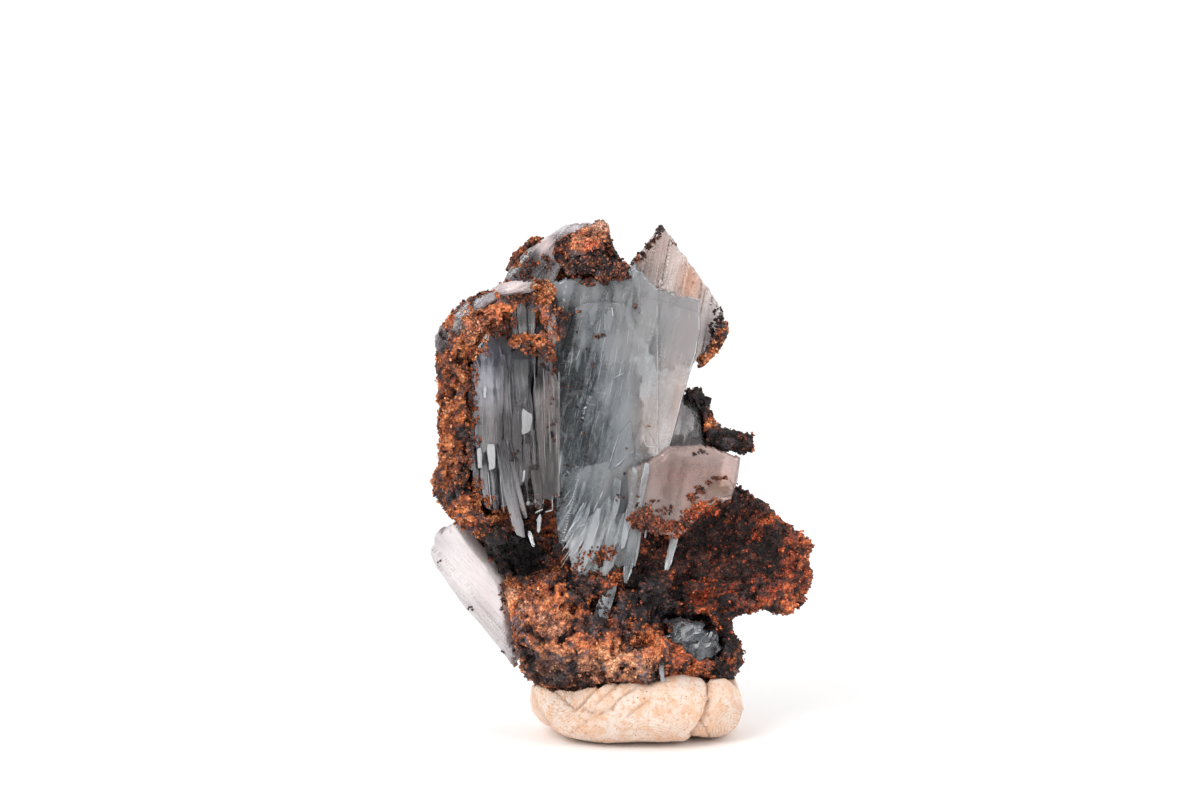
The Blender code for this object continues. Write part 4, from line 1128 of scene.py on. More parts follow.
def needle_arrays(items, seed, sides=9, rings=9, ridged=0.10):
    """Laths as closed solids. Each: (root, tip, width, thick, turn, end, curl), mm."""
    rng = np.random.default_rng(seed)
    V, Fc, fib = [], [], []
    base = 0
    for root, tip, width, thick, turn, end, curl, head in items:
        a, b = np.array(root, float), np.array(tip, float)
        along = b - a
        length = np.linalg.norm(along)
        along /= length
        side = np.cross(along, np.array([0, -1.0, 0]))
        side /= np.linalg.norm(side)
        face = np.cross(side, along)
        ang = np.sort((np.arange(sides) + rng.uniform(-0.3, 0.3, sides)) * 2 * np.pi / sides)
        x = np.sign(np.cos(ang)) * np.abs(np.cos(ang)) ** 0.8
        y = np.sign(np.sin(ang)) * np.abs(np.sin(ang)) ** 0.6
        rr = 1 + rng.uniform(-ridged, ridged, sides)
        tr = math.radians(turn)
        ts = np.linspace(0, 1, rings)
        wob = rng.uniform(-1, 1, 4)
        slant = rng.uniform(-0.7, 0.7, 2)
        for i, tt in enumerate(ts):
            taper = 0.82 + 0.18 * math.sin(math.pi * min(1, tt * 1.25 + 0.12))
            shrink = 1.0
            if i == rings - 1:
                shrink = end
            if i == 0:
                shrink = head
            elif head < 0.6:
                shrink *= min(1.0, head + (1 - head) * (tt / 0.22) ** 0.6)
            px = x * rr * width / 2 * taper * shrink
            py = y * rr * thick / 2 * taper * shrink
            X = px * math.cos(tr) - py * math.sin(tr)
            Y = px * math.sin(tr) + py * math.cos(tr)
            slip = slant[0] * px if i == rings - 1 else (slant[1] * px if i == 0 else 0)
            off = curl * math.sin(math.pi * tt) + 0.06 * width * wob[0] * math.sin(
                5 * tt + wob[1] * 3
            )
            pts = (
                a
                + along * (tt * length) + along * np.reshape(slip + np.zeros(sides), (-1, 1))
                + side * (X + off)[:, None] + face * Y[:, None]
            )
            V.append(pts)
            fib.append(
                np.stack([X + width * 3.7 * (base % 97), np.full(sides, tt * length), Y], 1)
            )
        for i in range(rings - 1):
            for k in range(sides):
                k2 = (k + 1) % sides
                p0 = base + i * sides
                p1 = base + (i + 1) * sides
                Fc.append([p0 + k, p0 + k2, p1 + k2, p1 + k])
        Fc.append([base + k for k in range(sides)][::-1])
        Fc.append([base + (rings - 1) * sides + k for k in range(sides)])
        base += rings * sides
    return np.concatenate(V), Fc, np.concatenate(fib)


def bundle(name, items, seed, material, veil=None, stain=None, smooth=22, **kw):
    V, Fc, fib = needle_arrays(items, seed, **kw)
    u_, v_ = on_sheet(V)
    vl = 0.5 + field(u_, v_, veil or [])
    st = np.ones((len(V), 4))
    for su, sv, ru, rv, colour in stain or []:
        d = np.exp(-(((u_ - su) / ru) ** 2 + ((v_ - sv) / rv) ** 2) * 0.9)[:, None]
        st[:, :3] = st[:, :3] * (1 - d) + np.array(colour) * d
    obj = mesh_from(
        name, V, Fc, smooth, {"fibre": fib, "veil": np.clip(vl, -1, 2), "stain": st}
    )
    bm = bmesh.new()
    bm.from_mesh(obj.data)
    bmesh.ops.recalc_face_normals(bm, faces=bm.faces)
    bm.to_mesh(obj.data)
    bm.free()
    obj.data.materials.append(material)
    return obj


def is_part(obj, node):
    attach(obj, "root")
    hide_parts(node)


MAIN_BLADE = [
    (549, 283), (566, 276), (590, 277), (612, 277), (627, 268), (636, 263),
    (645, 274), (660, 287), (678, 293), (700, 298), (700, 330), (696, 353),
    (690, 372), (682, 400), (676, 425), (669, 450), (655, 464), (637, 468),
    (622, 480), (608, 490), (588, 496), (562, 500), (553, 470), (551, 380),
]  # fmt: skip
BACK_BLADE = [
    (632, 262), (645, 246), (661, 224), (671, 236), (689, 261), (710, 290),
    (723, 312), (724, 326), (716, 346), (704, 360), (694, 366), (660, 372),
    (632, 330),
]  # fmt: skip
PINK_BLADE = [
    (628, 468), (650, 460), (668, 446), (700, 444), (716, 448), (740, 458),
    (737, 480), (730, 500), (713, 507), (695, 522), (678, 538), (662, 541),
    (645, 531), (628, 524),
]  # fmt: skip
TOP_PLATE = [
    (501, 286), (509, 270), (527, 250), (548, 236), (567, 224), (590, 222),
    (597, 230), (578, 246), (563, 264), (553, 284), (530, 294), (512, 292),
]  # fmt: skip
SIDE_PLATE = [
    (432, 546), (437, 532), (448, 524), (460, 520), (473, 540), (491, 562),
    (504, 583), (510, 606), (514, 634), (521, 655), (517, 667), (500, 642),
    (484, 622), (469, 606), (450, 578), (436, 558),
]  # fmt: skip
CORNER_CRYSTAL = [
    (674, 446), (678, 424), (687, 403), (694, 400), (699, 412), (701, 432),
    (703, 448), (690, 456),
]  # fmt: skip
FOOT_CRYSTAL = [
    (664, 622), (682, 616), (700, 622), (717, 630), (722, 646), (708, 660),
    (686, 664), (668, 655),
]  # fmt: skip

MAIN = crystal_material(
    "barite_main", clear=(0.80, 0.84, 0.87), milky=(0.40, 0.41, 0.425),
    absorb=(0.49, 0.56, 0.60), density=280.0, cloud=0.34, through=(0.985, 0.42), streak=0.6,
    bump=0.10, gloss=(0.03, 0.15), contrast=5.0,
)
MAIN_FACE = [
    (549, 283), (566, 276), (590, 277), (612, 277), (627, 268), (636, 263),
    (645, 274), (660, 287), (678, 293), (700, 298), (700, 330), (696, 353),
    (690, 372), (682, 400), (676, 425), (669, 449), (656, 463), (636, 467),
    (631, 460), (608, 474), (602, 488), (584, 496), (562, 500), (553, 470),
    (551, 380),
]  # fmt: skip
main_blade = slab(
    "main_blade", MAIN_FACE, (-0.6, 0.012, -0.010), 3.0, 12.0, 3,
    relief=0.045, jag=(0.5, 0.7), sheaves=12, tilt=0.03, cell=(0.15, 0.36),
    strips=(0.6, 3.0, 0.3, 1.4), lift=(0.03, 0.09), sway=0.25,
    laths=[(600, 412, 0.45, 14.0, 0.10), (577, 445, 0.25, 9.0, 0.16), (668, 440, 0.6, 18.0, 0.08)],
    terraces=[
        # lower right blocks
        ([(607, 474), (619, 432), (630, 420), (634, 462)], 0.22),
        ([(634, 470), (634, 440), (640, 420), (648, 432), (656, 446), (659, 452), (655, 466)], 0.38),
        # right panel, set back
        ([(657.5, 290), (706, 294), (706, 330), (694, 376), (680, 428), (673, 454), (659, 468),
          (657, 420), (658, 350)], -0.22),
        # top left and top band, set back
        ([(543, 273), (566, 268), (627, 258), (641, 315), (623, 303), (597, 301), (575, 306),
          (563, 345), (551, 392), (543, 380)], -0.48),
        ([(636, 255), (663, 284), (706, 296), (706, 314), (668, 303), (641, 296)], -0.14),
        # small laths with round heads
        ([(604, 330), (605, 314), (608, 307), (612, 307), (613, 314), (609, 332)], 0.34),
        ([(566, 331), (568, 312), (577, 306), (579, 310), (574, 331)], 0.26),
        ([(588, 312), (594, 303), (598, 302), (596, 318), (589, 330)], 0.22),
        ([(575, 449), (581, 420), (584, 420), (579, 450)], 0.22),
    ],
    veil=[(572, 440, 20, 44, -0.50), (598, 452, 18, 24, -0.32), (562, 345, 12, 46, -0.50),
          (590, 288, 26, 10, -0.10), (606, 296, 14, 10, -0.08), (596, 290, 3, 16, 0.3), (616, 288, 3, 14, 0.3), (640, 300, 22, 16, 0.10),
          (684, 330, 20, 46, 0.34), (650, 410, 22, 36, 0.02), (590, 480, 30, 14, -0.60),
          (610, 318, 4, 12, 0.25), (578, 362, 3, 9, 0.40), (583, 340, 3, 14, 0.40),
          (577, 442, 3, 8, 0.5), (618, 350, 20, 20, 0.22), (575, 392, 14, 20, -0.25),
          (562, 288, 10, 11, 0.55), (640, 282, 10, 8, 0.2), (607, 425, 14, 14, -0.15), (596, 350, 18, 50, -0.22), (575, 420, 20, 40, -0.2),
          (655, 325, 20, 30, 0.25), (690, 320, 14, 30, 0.20), (641, 350, 3, 40, 0.25),
          (668, 330, 3, 30, 0.2), (619, 300, 3, 16, 0.3), (571, 440, 3, 30, 0.2), (587, 420, 3, 30, 0.2),
          (561, 465, 1.5, 14, 0.8), (570, 318, 5, 10, -0.3), (645, 450, 12, 14, 0.05), (650, 395, 12, 30, -0.14)],
    stain=[(590, 430, 50, 60, (0.92, 0.98, 1.02)), (675, 400, 20, 46, (1.22, 0.86, 0.72)), (664, 395, 12, 30, (1.06, 0.92, 0.86)), (652, 418, 14, 44, (0.94, 0.84, 0.79)),
           (688, 335, 18, 40, (1.22, 1.07, 1.03)), (670, 300, 40, 18, (1.05, 1.0, 0.98)),
           (575, 465, 34, 40, (0.57, 0.64, 0.68)), (561, 350, 13, 42, (0.56, 0.57, 0.59)), (563, 288, 9, 10, (1.1, 1.14, 1.2)),
           (648, 372, 12, 40, (0.90, 0.86, 0.84)),
           (572, 395, 18, 34, (0.62, 0.69, 0.74)), (600, 345, 18, 40, (0.82, 0.85, 0.88)), (640, 330, 26, 40, (1.04, 1.0, 0.98)),
           (600, 440, 20, 24, (0.70, 0.76, 0.80)), (553, 273, 3, 3, (0.9, 0.55, 1.5)), (650, 430, 13, 34, (1.04, 0.84, 0.75))],
    material=MAIN,
)
is_part(main_blade, "barite_main_blade")
# paths of painted glints along the main blade's broken edges, with their widths
MAIN_GLINT_LINES = [
    ([(637, 264), (645, 275), (660, 288), (678, 294), (699, 300)], 0.16),
    ([(582, 305), (590, 303)], 0.06), ([(612, 303), (619, 304)], 0.05),
    ([(635, 464), (645, 463), (655, 461), (668, 448)], 0.11),
    ([(634, 462), (634, 441)], 0.10), ([(608, 471), (613, 452), (619, 434)], 0.09),
    ([(609, 471), (620, 463), (631, 458)], 0.10), ([(611, 473), (626, 456)], 0.06),
    ([(605, 330), (605, 314), (608, 308), (612, 308), (613, 316)], 0.11),
    ([(699, 302), (699, 330), (695, 353), (689, 372), (681, 400), (675, 425), (669, 446)], 0.09),
    ([(657, 306), (657, 340), (658, 380), (657, 420)], 0.06),
    ([(613, 378), (624, 373)], 0.05),
    ([(561, 452), (559, 478)], 0.16), ([(577, 436), (574, 449)], 0.16),
    ([(584, 334), (580, 350), (576, 360)], 0.08), ([(566, 330), (569, 312), (577, 306)], 0.09),
    ([(643, 436), (646, 446), (656, 447)], 0.08), ([(629, 330), (627, 345)], 0.05),
]  # fmt: skip


BACK = crystal_material(
    "barite_back", clear=(0.94, 0.88, 0.86), milky=(0.60, 0.54, 0.52),
    absorb=(0.76, 0.66, 0.62), density=150.0, cloud=0.34, through=(0.97, 0.45),
    contrast=8.0, streak=1.9, gloss=(0.04, 0.2),
)
back_blade = slab(
    "back_blade", BACK_BLADE, (4.4, 0.010, -0.006), 2.3, 10.0, 5, relief=0.15,
    jag=(0.2, 0.8), sheaves=16, material=BACK, cell=(0.11, 0.55), strips=(0.25, 1.1, 0.12, 0.45),
    sway=0.06, tilt=0.30,
    veil=[(694, 285, 16, 18, 0.3), (708, 334, 13, 28, -0.55), (655, 240, 16, 16, -0.15)],
    stain=[(690, 282, 13, 22, (1.14, 0.74, 0.55)), (708, 334, 13, 30, (0.20, 0.19, 0.20)),
           (662, 244, 13, 20, (0.50, 0.41, 0.38)), (646, 266, 12, 16, (0.62, 0.55, 0.53)),
           (654, 262, 18, 22, (0.74, 0.66, 0.64)),
           (659, 244, 15, 20, (0.64, 0.54, 0.51)), (640, 262, 12, 10, (0.55, 0.48, 0.46))],
)
is_part(back_blade, "barite_back_blade")

PINK = crystal_material(
    "barite_pink", clear=(0.94, 0.82, 0.78), milky=(0.56, 0.44, 0.41),
    absorb=(0.76, 0.60, 0.55), density=120.0, cloud=0.50, through=(0.96, 0.48),
    streak=0.25, gloss=(0.05, 0.18), bump=0.06, contrast=4.0,
)
pink_blade = slab(
    "pink_blade", PINK_BLADE, (-3.6, 0.020, -0.012), 2.7, 8.0, 8, relief=0.03,
    jag=(0.15, 0.9), sheaves=5, material=PINK, tilt=0.03, strips=(1.2, 5.0, 0.6, 3.0),
    lift=(0.03, 0.08), sway=0.2,
    terraces=[([(703, 498), (704, 490), (710, 483), (719, 478), (728, 479), (733, 487), (731, 494), (718, 498)], -0.26),
              ([(622, 470), (646, 462), (640, 500), (632, 530), (622, 530)], 0.18),
              ([(664, 470), (670, 452), (673, 452), (668, 500), (660, 520)], 0.10)],
    veil=[(700, 453, 40, 6, 0.35), (734, 470, 5, 18, 0.35), (655, 490, 16, 26, 0.1),
          (690, 480, 26, 14, -0.1), (720, 490, 12, 8, 0.1), (718, 501, 14, 3, 0.7), (640, 500, 8, 20, 0.1)],
    stain=[(690, 480, 46, 24, (1.10, 0.90, 0.86)), (634, 500, 10, 30, (0.92, 1.02, 1.05)),
           (718, 487, 11, 7, (0.84, 0.72, 0.60)), (700, 452, 40, 6, (1.15, 1.08, 1.06)),
           (650, 525, 26, 12, (0.72, 0.50, 0.42)), (700, 510, 14, 8, (0.8, 0.52, 0.42)), (719, 487, 11, 7, (0.84, 0.70, 0.56))],
)
is_part(pink_blade, "barite_pink_blade")

TOPM = crystal_material(
    "barite_top", clear=(0.84, 0.82, 0.84), milky=(0.60, 0.56, 0.57),
    absorb=(0.6, 0.6, 0.64), density=150.0, cloud=0.40, through=(0.95, 0.22),
    streak=0.9, bump=0.4, contrast=9.0, gloss=(0.04, 0.2),
)
top_plate = slab(
    "top_plate", TOP_PLATE, (1.0, 0.010, -0.030), 2.0, 40.0, 11, relief=0.18,
    jag=(0.5, 0.5), sheaves=22, material=TOPM,
    veil=[(546, 246, 13, 12, 0.8), (525, 276, 16, 8, -0.1), (575, 232, 16, 6, 0.5),
          (560, 262, 6, 20, 0.2)],
    stain=[(546, 247, 13, 11, (1.55, 1.34, 1.30)), (520, 280, 16, 8, (0.8, 0.78, 0.80)),
           (535, 264, 12, 7, (0.5, 0.42, 0.38)), (575, 230, 16, 6, (1.3, 1.3, 1.34)), (556, 268, 8, 10, (0.7, 0.68, 0.7))],
)
is_part(top_plate, "barite_top_plate")


def on_crust(name, outline, stand, thick, lean, seed, node, slot, **kw):
    """A plate grown on the crust: its plane follows the crust behind it."""
    us, vs = np.array(outline, float).T
    pts = [seen(CRUST_TREE, u, v) for u, v in outline] + [seen(CRUST_TREE, us.mean(), vs.mean())]
    got = np.array([(u, v, q[0][1]) for (u, v), q in zip(list(outline) + [(us.mean(), vs.mean())], pts) if q])
    A = np.stack([got[:, 0] - us.mean(), got[:, 1] - vs.mean(), np.ones(len(got))], 1)
    (du, dv, y0), *_ = np.linalg.lstsq(A, got[:, 2], rcond=None)
    du, dv = np.clip([du, dv], -0.12, 0.12)
    obj = slab(name, outline, (y0 - stand, du, dv), thick, lean, seed, **kw)
    is_part(obj, node)
    return obj


shoulder = on_crust(
    "shoulder_plate", [(451, 332), (456, 314), (467, 302), (482, 294), (500, 291),
                       (499, 300), (487, 306), (476, 315), (466, 330), (458, 338)],
    0.1, 1.6, 48.0, 51, "barite_left_fan", "barite_blue", material=TOPM, relief=0.14,
    jag=(0.4, 0.4), sheaves=14, stain=[(475, 312, 30, 30, (0.72, 0.70, 0.74))],
)
shelf = on_crust(
    "shoulder_shelf", [(490, 292), (500, 285), (514, 282), (526, 282), (538, 285), (531, 291),
                       (514, 294), (500, 296)],
    1.0, 1.3, 70.0, 53, "barite_left_fan", "barite_blue", material=TOPM, relief=0.06,
    jag=(0.2, 0.2), sheaves=6,
    stain=[(516, 288, 20, 6, (1.45, 1.20, 1.15)), (500, 290, 8, 6, (0.8, 0.7, 0.7))], veil=[(512, 288, 30, 20, 0.3)],
)
flank = on_crust(
    "shoulder_flank", [(437, 352), (436, 338), (443, 327), (454, 327), (455, 340), (447, 352)],
    -0.2, 1.6, 20.0, 55, "barite_left_fan", "barite_blue", material=TOPM, relief=0.10,
    jag=(0.3, 0.3), sheaves=8, stain=[(446, 340, 20, 30, (0.42, 0.38, 0.40))],
)

WHITE = crystal_material(
    "barite_white", clear=(0.92, 0.87, 0.88), milky=(0.86, 0.80, 0.80),
    absorb=(0.80, 0.74, 0.74), density=120.0, cloud=0.6, through=(0.5, 0.12),
    gloss=(0.2, 0.45), streak=0.3, bump=0.30,
)
side_plate = slab(
    "side_plate", SIDE_PLATE, (1.5, -0.075, 0.030), 3.1, -38.0, 14, relief=0.08,
    jag=(0.6, 0.6), sheaves=16, material=WHITE, rim_painted_shade=0.16, tilt=0.09,
    veil=[(512, 640, 10, 26, -0.4)],
    stain=[(514, 640, 9, 26, (0.62, 0.58, 0.60)), (440, 540, 10, 14, (0.84, 0.82, 0.84)),
           (486, 596, 10, 26, (0.90, 0.86, 0.86)), (476, 560, 12, 20, (1.0, 0.96, 0.95))],
)
is_part(side_plate, "barite_side_plate")

CORNER = crystal_material(
    "barite_corner", clear=(0.74, 0.74, 0.76), milky=(0.36, 0.35, 0.36),
    absorb=(0.5, 0.5, 0.52), density=220.0, cloud=0.32, through=(0.92, 0.45),
)
CORNER_CRYSTAL = [
    (668, 452), (672, 424), (680, 400), (690, 394), (699, 408), (703, 432),
    (705, 449), (690, 458),
]
corner = slab(
    "corner_crystal", CORNER_CRYSTAL, (1.9, 0.0, -0.01), 1.6, 8.0, 17, relief=0.12,
    jag=(0.4, 0.3), sheaves=12, material=CORNER, veil=[(692, 444, 14, 10, 0.4)],
    stain=[(690, 410, 12, 16, (0.42, 0.38, 0.38))],
)
is_part(corner, "barite_corner_crystal")
foot = slab(
    "foot_crystal", FOOT_CRYSTAL, (-3.6, 0.02, 0.0), 3.6, 35.0, 19, relief=0.22,
    jag=(0.8, 0.8), sheaves=10, material=CORNER, lift=(0.1, 0.4), tilt=0.3,
    terraces=[([(676, 624), (698, 620), (704, 634), (690, 640), (680, 638)], 0.4),
              ([(684, 642), (706, 636), (712, 648), (694, 660)], 0.3),
              ([(668, 640), (680, 640), (682, 656), (670, 652)], -0.3)],
    veil=[(686, 634, 6, 7, 0.7), (700, 652, 10, 4, 0.5), (690, 640, 26, 20, -0.3), (672, 630, 8, 14, -0.4),
          (712, 640, 8, 14, -0.4)],
    stain=[(690, 640, 30, 24, (0.84, 0.94, 1.02)), (668, 632, 8, 14, (0.4, 0.44, 0.5)),
           # the white spot at (686, 634), with the veil spot there, is a painted highlight
           (714, 636, 8, 14, (0.4, 0.44, 0.48)), (686, 634, 6, 6, (1.4, 1.4, 1.4)),
           (690, 652, 20, 8, (0.7, 0.76, 0.82))],
)
is_part(foot, "barite_foot_crystal")

# ---------------------------------------------------------------- fan and sprays
FANM = crystal_material(
    "barite_fan", clear=(0.78, 0.79, 0.83), milky=(0.44, 0.42, 0.43),
    absorb=(0.5, 0.53, 0.58), density=420.0, cloud=0.20, through=(0.98, 0.44),
    gloss=(0.03, 0.12), bump=0.12, streak=1.3, contrast=9.5,
)
SPRAYM = crystal_material(
    "barite_spray", clear=(0.84, 0.88, 0.91), milky=(0.56, 0.58, 0.60),
    absorb=(0.60, 0.68, 0.72), density=180.0, cloud=0.52, through=(0.95, 0.34),
    gloss=(0.05, 0.2), bump=0.2, streak=0.8,
)
GLINT = crystal_material(
    "barite_glint", clear=(0.90, 0.91, 0.92), milky=(0.62, 0.63, 0.64),
    absorb=(0.8, 0.8, 0.8), density=40.0, cloud=0.5, through=(0.8, 0.3),
    gloss=(0.05, 0.2),
)


# a whitish, nearly opaque barite finish for painted glints on edges
EDGE = crystal_material(
    "barite_edge_glint", clear=(0.90, 0.93, 0.95), milky=(0.84, 0.86, 0.88),
    absorb=(0.9, 0.9, 0.9), density=20.0, cloud=0.7, through=(0.35, 0.10),
    gloss=(0.10, 0.30),
)


def lath(u0, v0, u1, v1, y0, y1, w, k, turn=0.0, head=0.8, end=0.6, curl=0.0):
    return (front(u0, v0, y0), front(u1, v1, y1), w, k, turn, end, curl, head)


rng = np.random.default_rng(99)
fan = [
    # broad prism at the left
    lath(489, 334, 492, 447, -5.2, -5.2, 4.3, 2.4, 4, 0.16, 0.95),
    lath(478, 356, 481, 447, -4.6, -4.6, 2.0, 2.0, -16, 0.4, 0.9),
    lath(472.5, 364, 474, 447, -4.4, -4.4, 1.5, 1.6, -10, 0.4, 0.9),
    lath(503, 354, 506, 446, -4.7, -4.7, 1.7, 2.0, 18, 0.35, 0.9),
    # under it
    lath(484, 464, 488, 508, -4.8, -4.8, 1.3, 1.6, -10, 0.9, 0.7),
    lath(493, 464, 496, 512, -4.9, -4.9, 1.2, 1.5, 12, 0.9, 0.7),
    lath(470, 438, 473, 470, -4.4, -4.4, 1.1, 1.4, 0, 0.8, 0.8),
    lath(476, 468, 479, 500, -4.3, -4.3, 1.2, 1.4, 0, 0.8, 0.7),
    # long lath that leans to the right
    lath(502, 440, 521, 536, -5.2, -6.0, 1.9, 1.3, -6, 0.7, 0.7, 0.35),
    lath(510, 442, 526, 518, -4.9, -5.6, 0.9, 1.1, 10, 0.7, 0.6, 0.3),
    # middle
    lath(520, 343, 522, 404, -4.8, -4.7, 3.7, 2.2, 6, 0.5, 0.8),
    lath(514, 372, 518, 484, -4.2, -4.3, 2.6, 2.2, -8, 0.8, 0.6),
    lath(525, 400, 530, 470, -4.0, -4.1, 2.2, 2.0, 6, 0.8, 0.7),
    lath(527, 434, 527, 484, -4.7, -4.8, 1.6, 1.4, 10, 0.8, 0.4),
    lath(536, 464, 540, 509, -4.6, -4.9, 1.8, 1.4, -8, 0.7, 0.45),
    lath(533, 428, 535, 478, -4.4, -4.5, 1.1, 1.3, 16, 0.8, 0.6),
    # right
    lath(547, 370, 549, 498, -4.0, -4.1, 3.8, 2.2, 5, 0.8, 0.85),
    lath(538, 376, 541, 466, -4.3, -4.3, 1.7, 1.8, -12, 0.6, 0.8),
    lath(556, 380, 557, 498, -4.0, -4.1, 0.9, 1.8, 0, 0.9, 0.9),
    # top
    lath(515, 301, 516, 346, -4.6, -4.5, 1.3, 1.2, 14, 0.9, 0.9),
    lath(522, 297, 523, 348, -4.9, -4.6, 1.5, 1.2, -10, 0.9, 0.9),
    lath(530, 300, 531, 342, -4.7, -4.5, 1.3, 1.2, 12, 0.9, 0.9),
    lath(551, 312, 552, 344, -5.2, -5.1, 1.5, 1.0, 14, 0.5, 0.6),
    # behind
    lath(480, 330, 486, 505, -1.8, -1.8, 3.6, 2.6, 0, 0.8),
    lath(502, 322, 508, 505, -1.8, -1.8, 3.8, 2.6, 4, 0.8),
    lath(525, 322, 531, 505, -1.8, -1.8, 3.8, 2.6, -4, 0.8),
    lath(546, 318, 550, 500, -1.8, -1.8, 3.2, 2.6, 0, 0.8),
]
for _ in range(7):
    u0 = rng.uniform(476, 552)
    v0 = rng.uniform(345, 440)
    v1 = min(v0 + rng.uniform(30, 80), 525 - abs(u0 - 510) * 0.5)
    y = rng.uniform(-5.0, -4.2)
    fan.append(lath(u0, v0, u0 + 0.035 * (v1 - v0), v1, y, y - 0.2, rng.uniform(0.4, 0.9),
                    rng.uniform(0.4, 1.0), rng.uniform(-30, 30), 0.3, 0.5))
left_fan = bundle(
    "left_fan", fan, 31, FANM, sides=8, smooth=11, ridged=0.16,
    veil=[(486, 382, 7, 18, 0.70), (510, 492, 12, 34, 0.40), (524, 360, 10, 18, -0.10),
          (518, 440, 14, 40, -0.35), (548, 440, 12, 60, -0.2), (489, 424, 14, 18, -0.25),
          (535, 470, 10, 30, -0.2), (523, 318, 12, 16, -0.2)],
    stain=[(488, 370, 16, 30, (1.05, 1.05, 1.18)), 
           (548, 430, 14, 80, (0.46, 0.33, 0.30)), (500, 410, 5, 40, (0.8, 0.76, 0.76)),
           (517, 440, 12, 44, (0.56, 0.50, 0.50)), (490, 430, 14, 18, (0.52, 0.46, 0.45)), (504, 372, 5, 30, (0.55, 0.52, 0.54)),
           (537, 480, 12, 30, (0.46, 0.36, 0.33)), (523, 318, 12, 16, (0.42, 0.44, 0.44)),
           (522, 362, 12, 18, (0.56, 0.56, 0.58)), (552, 480, 10, 30, (0.40, 0.33, 0.32)),
           # the last spot, at (487, 384), with the veil spot at (486, 382), paints a highlight: a bright bluish glow on
           # the broad prism
           (492, 500, 14, 20, (0.8, 0.8, 0.84)), (472, 400, 6, 60, (0.7, 0.68, 0.72)), (487, 384, 7, 13, (1.30, 1.33, 1.50))],
)
is_part(left_fan, "barite_left_fan")
hairs = []
for _ in range(30):
    u0 = rng.uniform(475, 556)
    v0 = rng.uniform(345, 470)
    v1 = min(v0 + rng.uniform(10, 50), 522 - abs(u0 - 510) * 0.5)
    y0 = -6.1 if u0 < 498 else -5.7
    hairs.append(lath(u0, v0, u0 + 0.04 * (v1 - v0), v1, y0 + rng.uniform(-0.1, 0.5), y0 + 0.1,
                      rng.uniform(0.05, 0.14), 0.12, rng.uniform(-20, 20), 0.4, 0.4))
fan_hairs = bundle("fan_hairs", hairs, 35, FANM, sides=5, rings=4,
                   veil=[(515, 430, 90, 200, 0.4)])
is_part(fan_hairs, "barite_left_fan")
glints = bundle(
    "fan_glints",
    [lath(527, 411, 526, 433, -5.4, -5.3, 1.5, 0.7, 12, 0.8, 0.8),
     lath(479.5, 448, 480, 468, -5.9, -5.9, 0.75, 0.5, -10, 0.9, 0.9),
     lath(491, 444, 491.5, 469, -6.5, -6.4, 1.2, 0.5, 10, 0.9, 0.9),
     lath(540, 514, 538.5, 533, -4.8, -5.0, 0.65, 0.3, 25, 0.15, 0.2),
     lath(537, 519, 540, 526, -4.9, -5.0, 0.5, 0.3, -30, 0.3, 0.3),
     lath(553, 510, 545, 512, -4.9, -5.0, 0.22, 0.2, 10, 0.4, 0.3),
     lath(543, 509, 535, 513, -5.0, -5.1, 0.28, 0.2, 10, 0.4, 0.3),
     lath(552, 496, 552.5, 510, -4.6, -4.8, 0.18, 0.2, 10, 0.4, 0.3),
     lath(529, 501, 527, 505, -5.2, -5.2, 0.5, 0.3, 10, 0.4, 0.6),
     lath(529, 531, 534, 547, -5.1, -5.3, 0.6, 0.4, 30, 0.5, 0.2),
     lath(524.5, 470, 523, 482, -5.6, -5.7, 0.35, 0.3, 10, 0.6, 0.5),
     lath(485, 386, 485, 398, -6.55, -6.55, 0.40, 0.2, 14, 0.5, 0.5),
     lath(559, 372, 559, 496, -4.6, -4.7, 0.12, 0.3, 0, 0.9, 0.9),
     lath(509, 384, 510, 440, -5.0, -5.1, 0.12, 0.3, 0, 0.9, 0.9),
     lath(488, 472, 491, 504, -5.8, -5.8, 0.14, 0.2, 0, 0.9, 0.9),
     lath(500, 476, 504, 512, -6.1, -6.3, 0.10, 0.2, 0, 0.9, 0.9)],
    33, GLINT, sides=6, smooth=5,
)
is_part(glints, "barite_left_fan")

# Broken edges and fine laths on the main blade's face, in a whitish, nearly opaque finish: painted glints where the
# edges and laths catch light.
BLADE_TREE = tree_of([main_blade])


def on_face(u, v, out=0.03):
    q = seen(BLADE_TREE, u, v)
    if q is None:
        return None
    to_eye = EYE - q[0]
    return q[0] + to_eye / np.linalg.norm(to_eye) * out


bright = []
for path, w_ in MAIN_GLINT_LINES:
    fine_path = []
    for (ua, va), (ub, vb) in zip(path, path[1:]):
        k_ = max(1, int(math.hypot(ub - ua, vb - va) / 9))
        fine_path += [(ua + (ub - ua) * i / k_, va + (vb - va) * i / k_) for i in range(k_)]
    fine_path.append(path[-1])
    for (ua, va), (ub, vb) in zip(fine_path, fine_path[1:]):
        if rng.random() < 0.30:
            continue
        qa, qb = on_face(ua, va), on_face(ub, vb)
        if qa is not None and qb is not None and np.linalg.norm(qa - qb) > 0.2:
            bright.append((qa, qb, w_ * rng.uniform(1.1, 1.8), 0.14, 0.0, 0.6, 0.0, 0.6))
for _ in range(120):
    f0 = rng.random()
    u0 = rng.uniform(566, 694) if f0 < 0.45 else rng.uniform(562, 632)
    v0 = rng.uniform(290, 462)
    ln = rng.uniform(3, 9) if rng.random() < 0.7 else rng.uniform(9, 22)
    lean_ = math.radians(12 + rng.uniform(-3, 3))
    qa = on_face(u0, v0, 0.0)
    qb = on_face(u0 - ln * math.sin(lean_), v0 + ln * math.cos(lean_), 0.0)
    if qa is not None and qb is not None and np.linalg.norm(qa - qb) > 0.25:
        bright.append((qa, qb, rng.uniform(0.04, 0.10), 0.07, 0.0, 0.3, 0.0, 0.3))
blade_glints = bundle("blade_glints", bright, 61, EDGE, sides=4, rings=2, ridged=0.05)
is_part(blade_glints, "barite_main_blade")

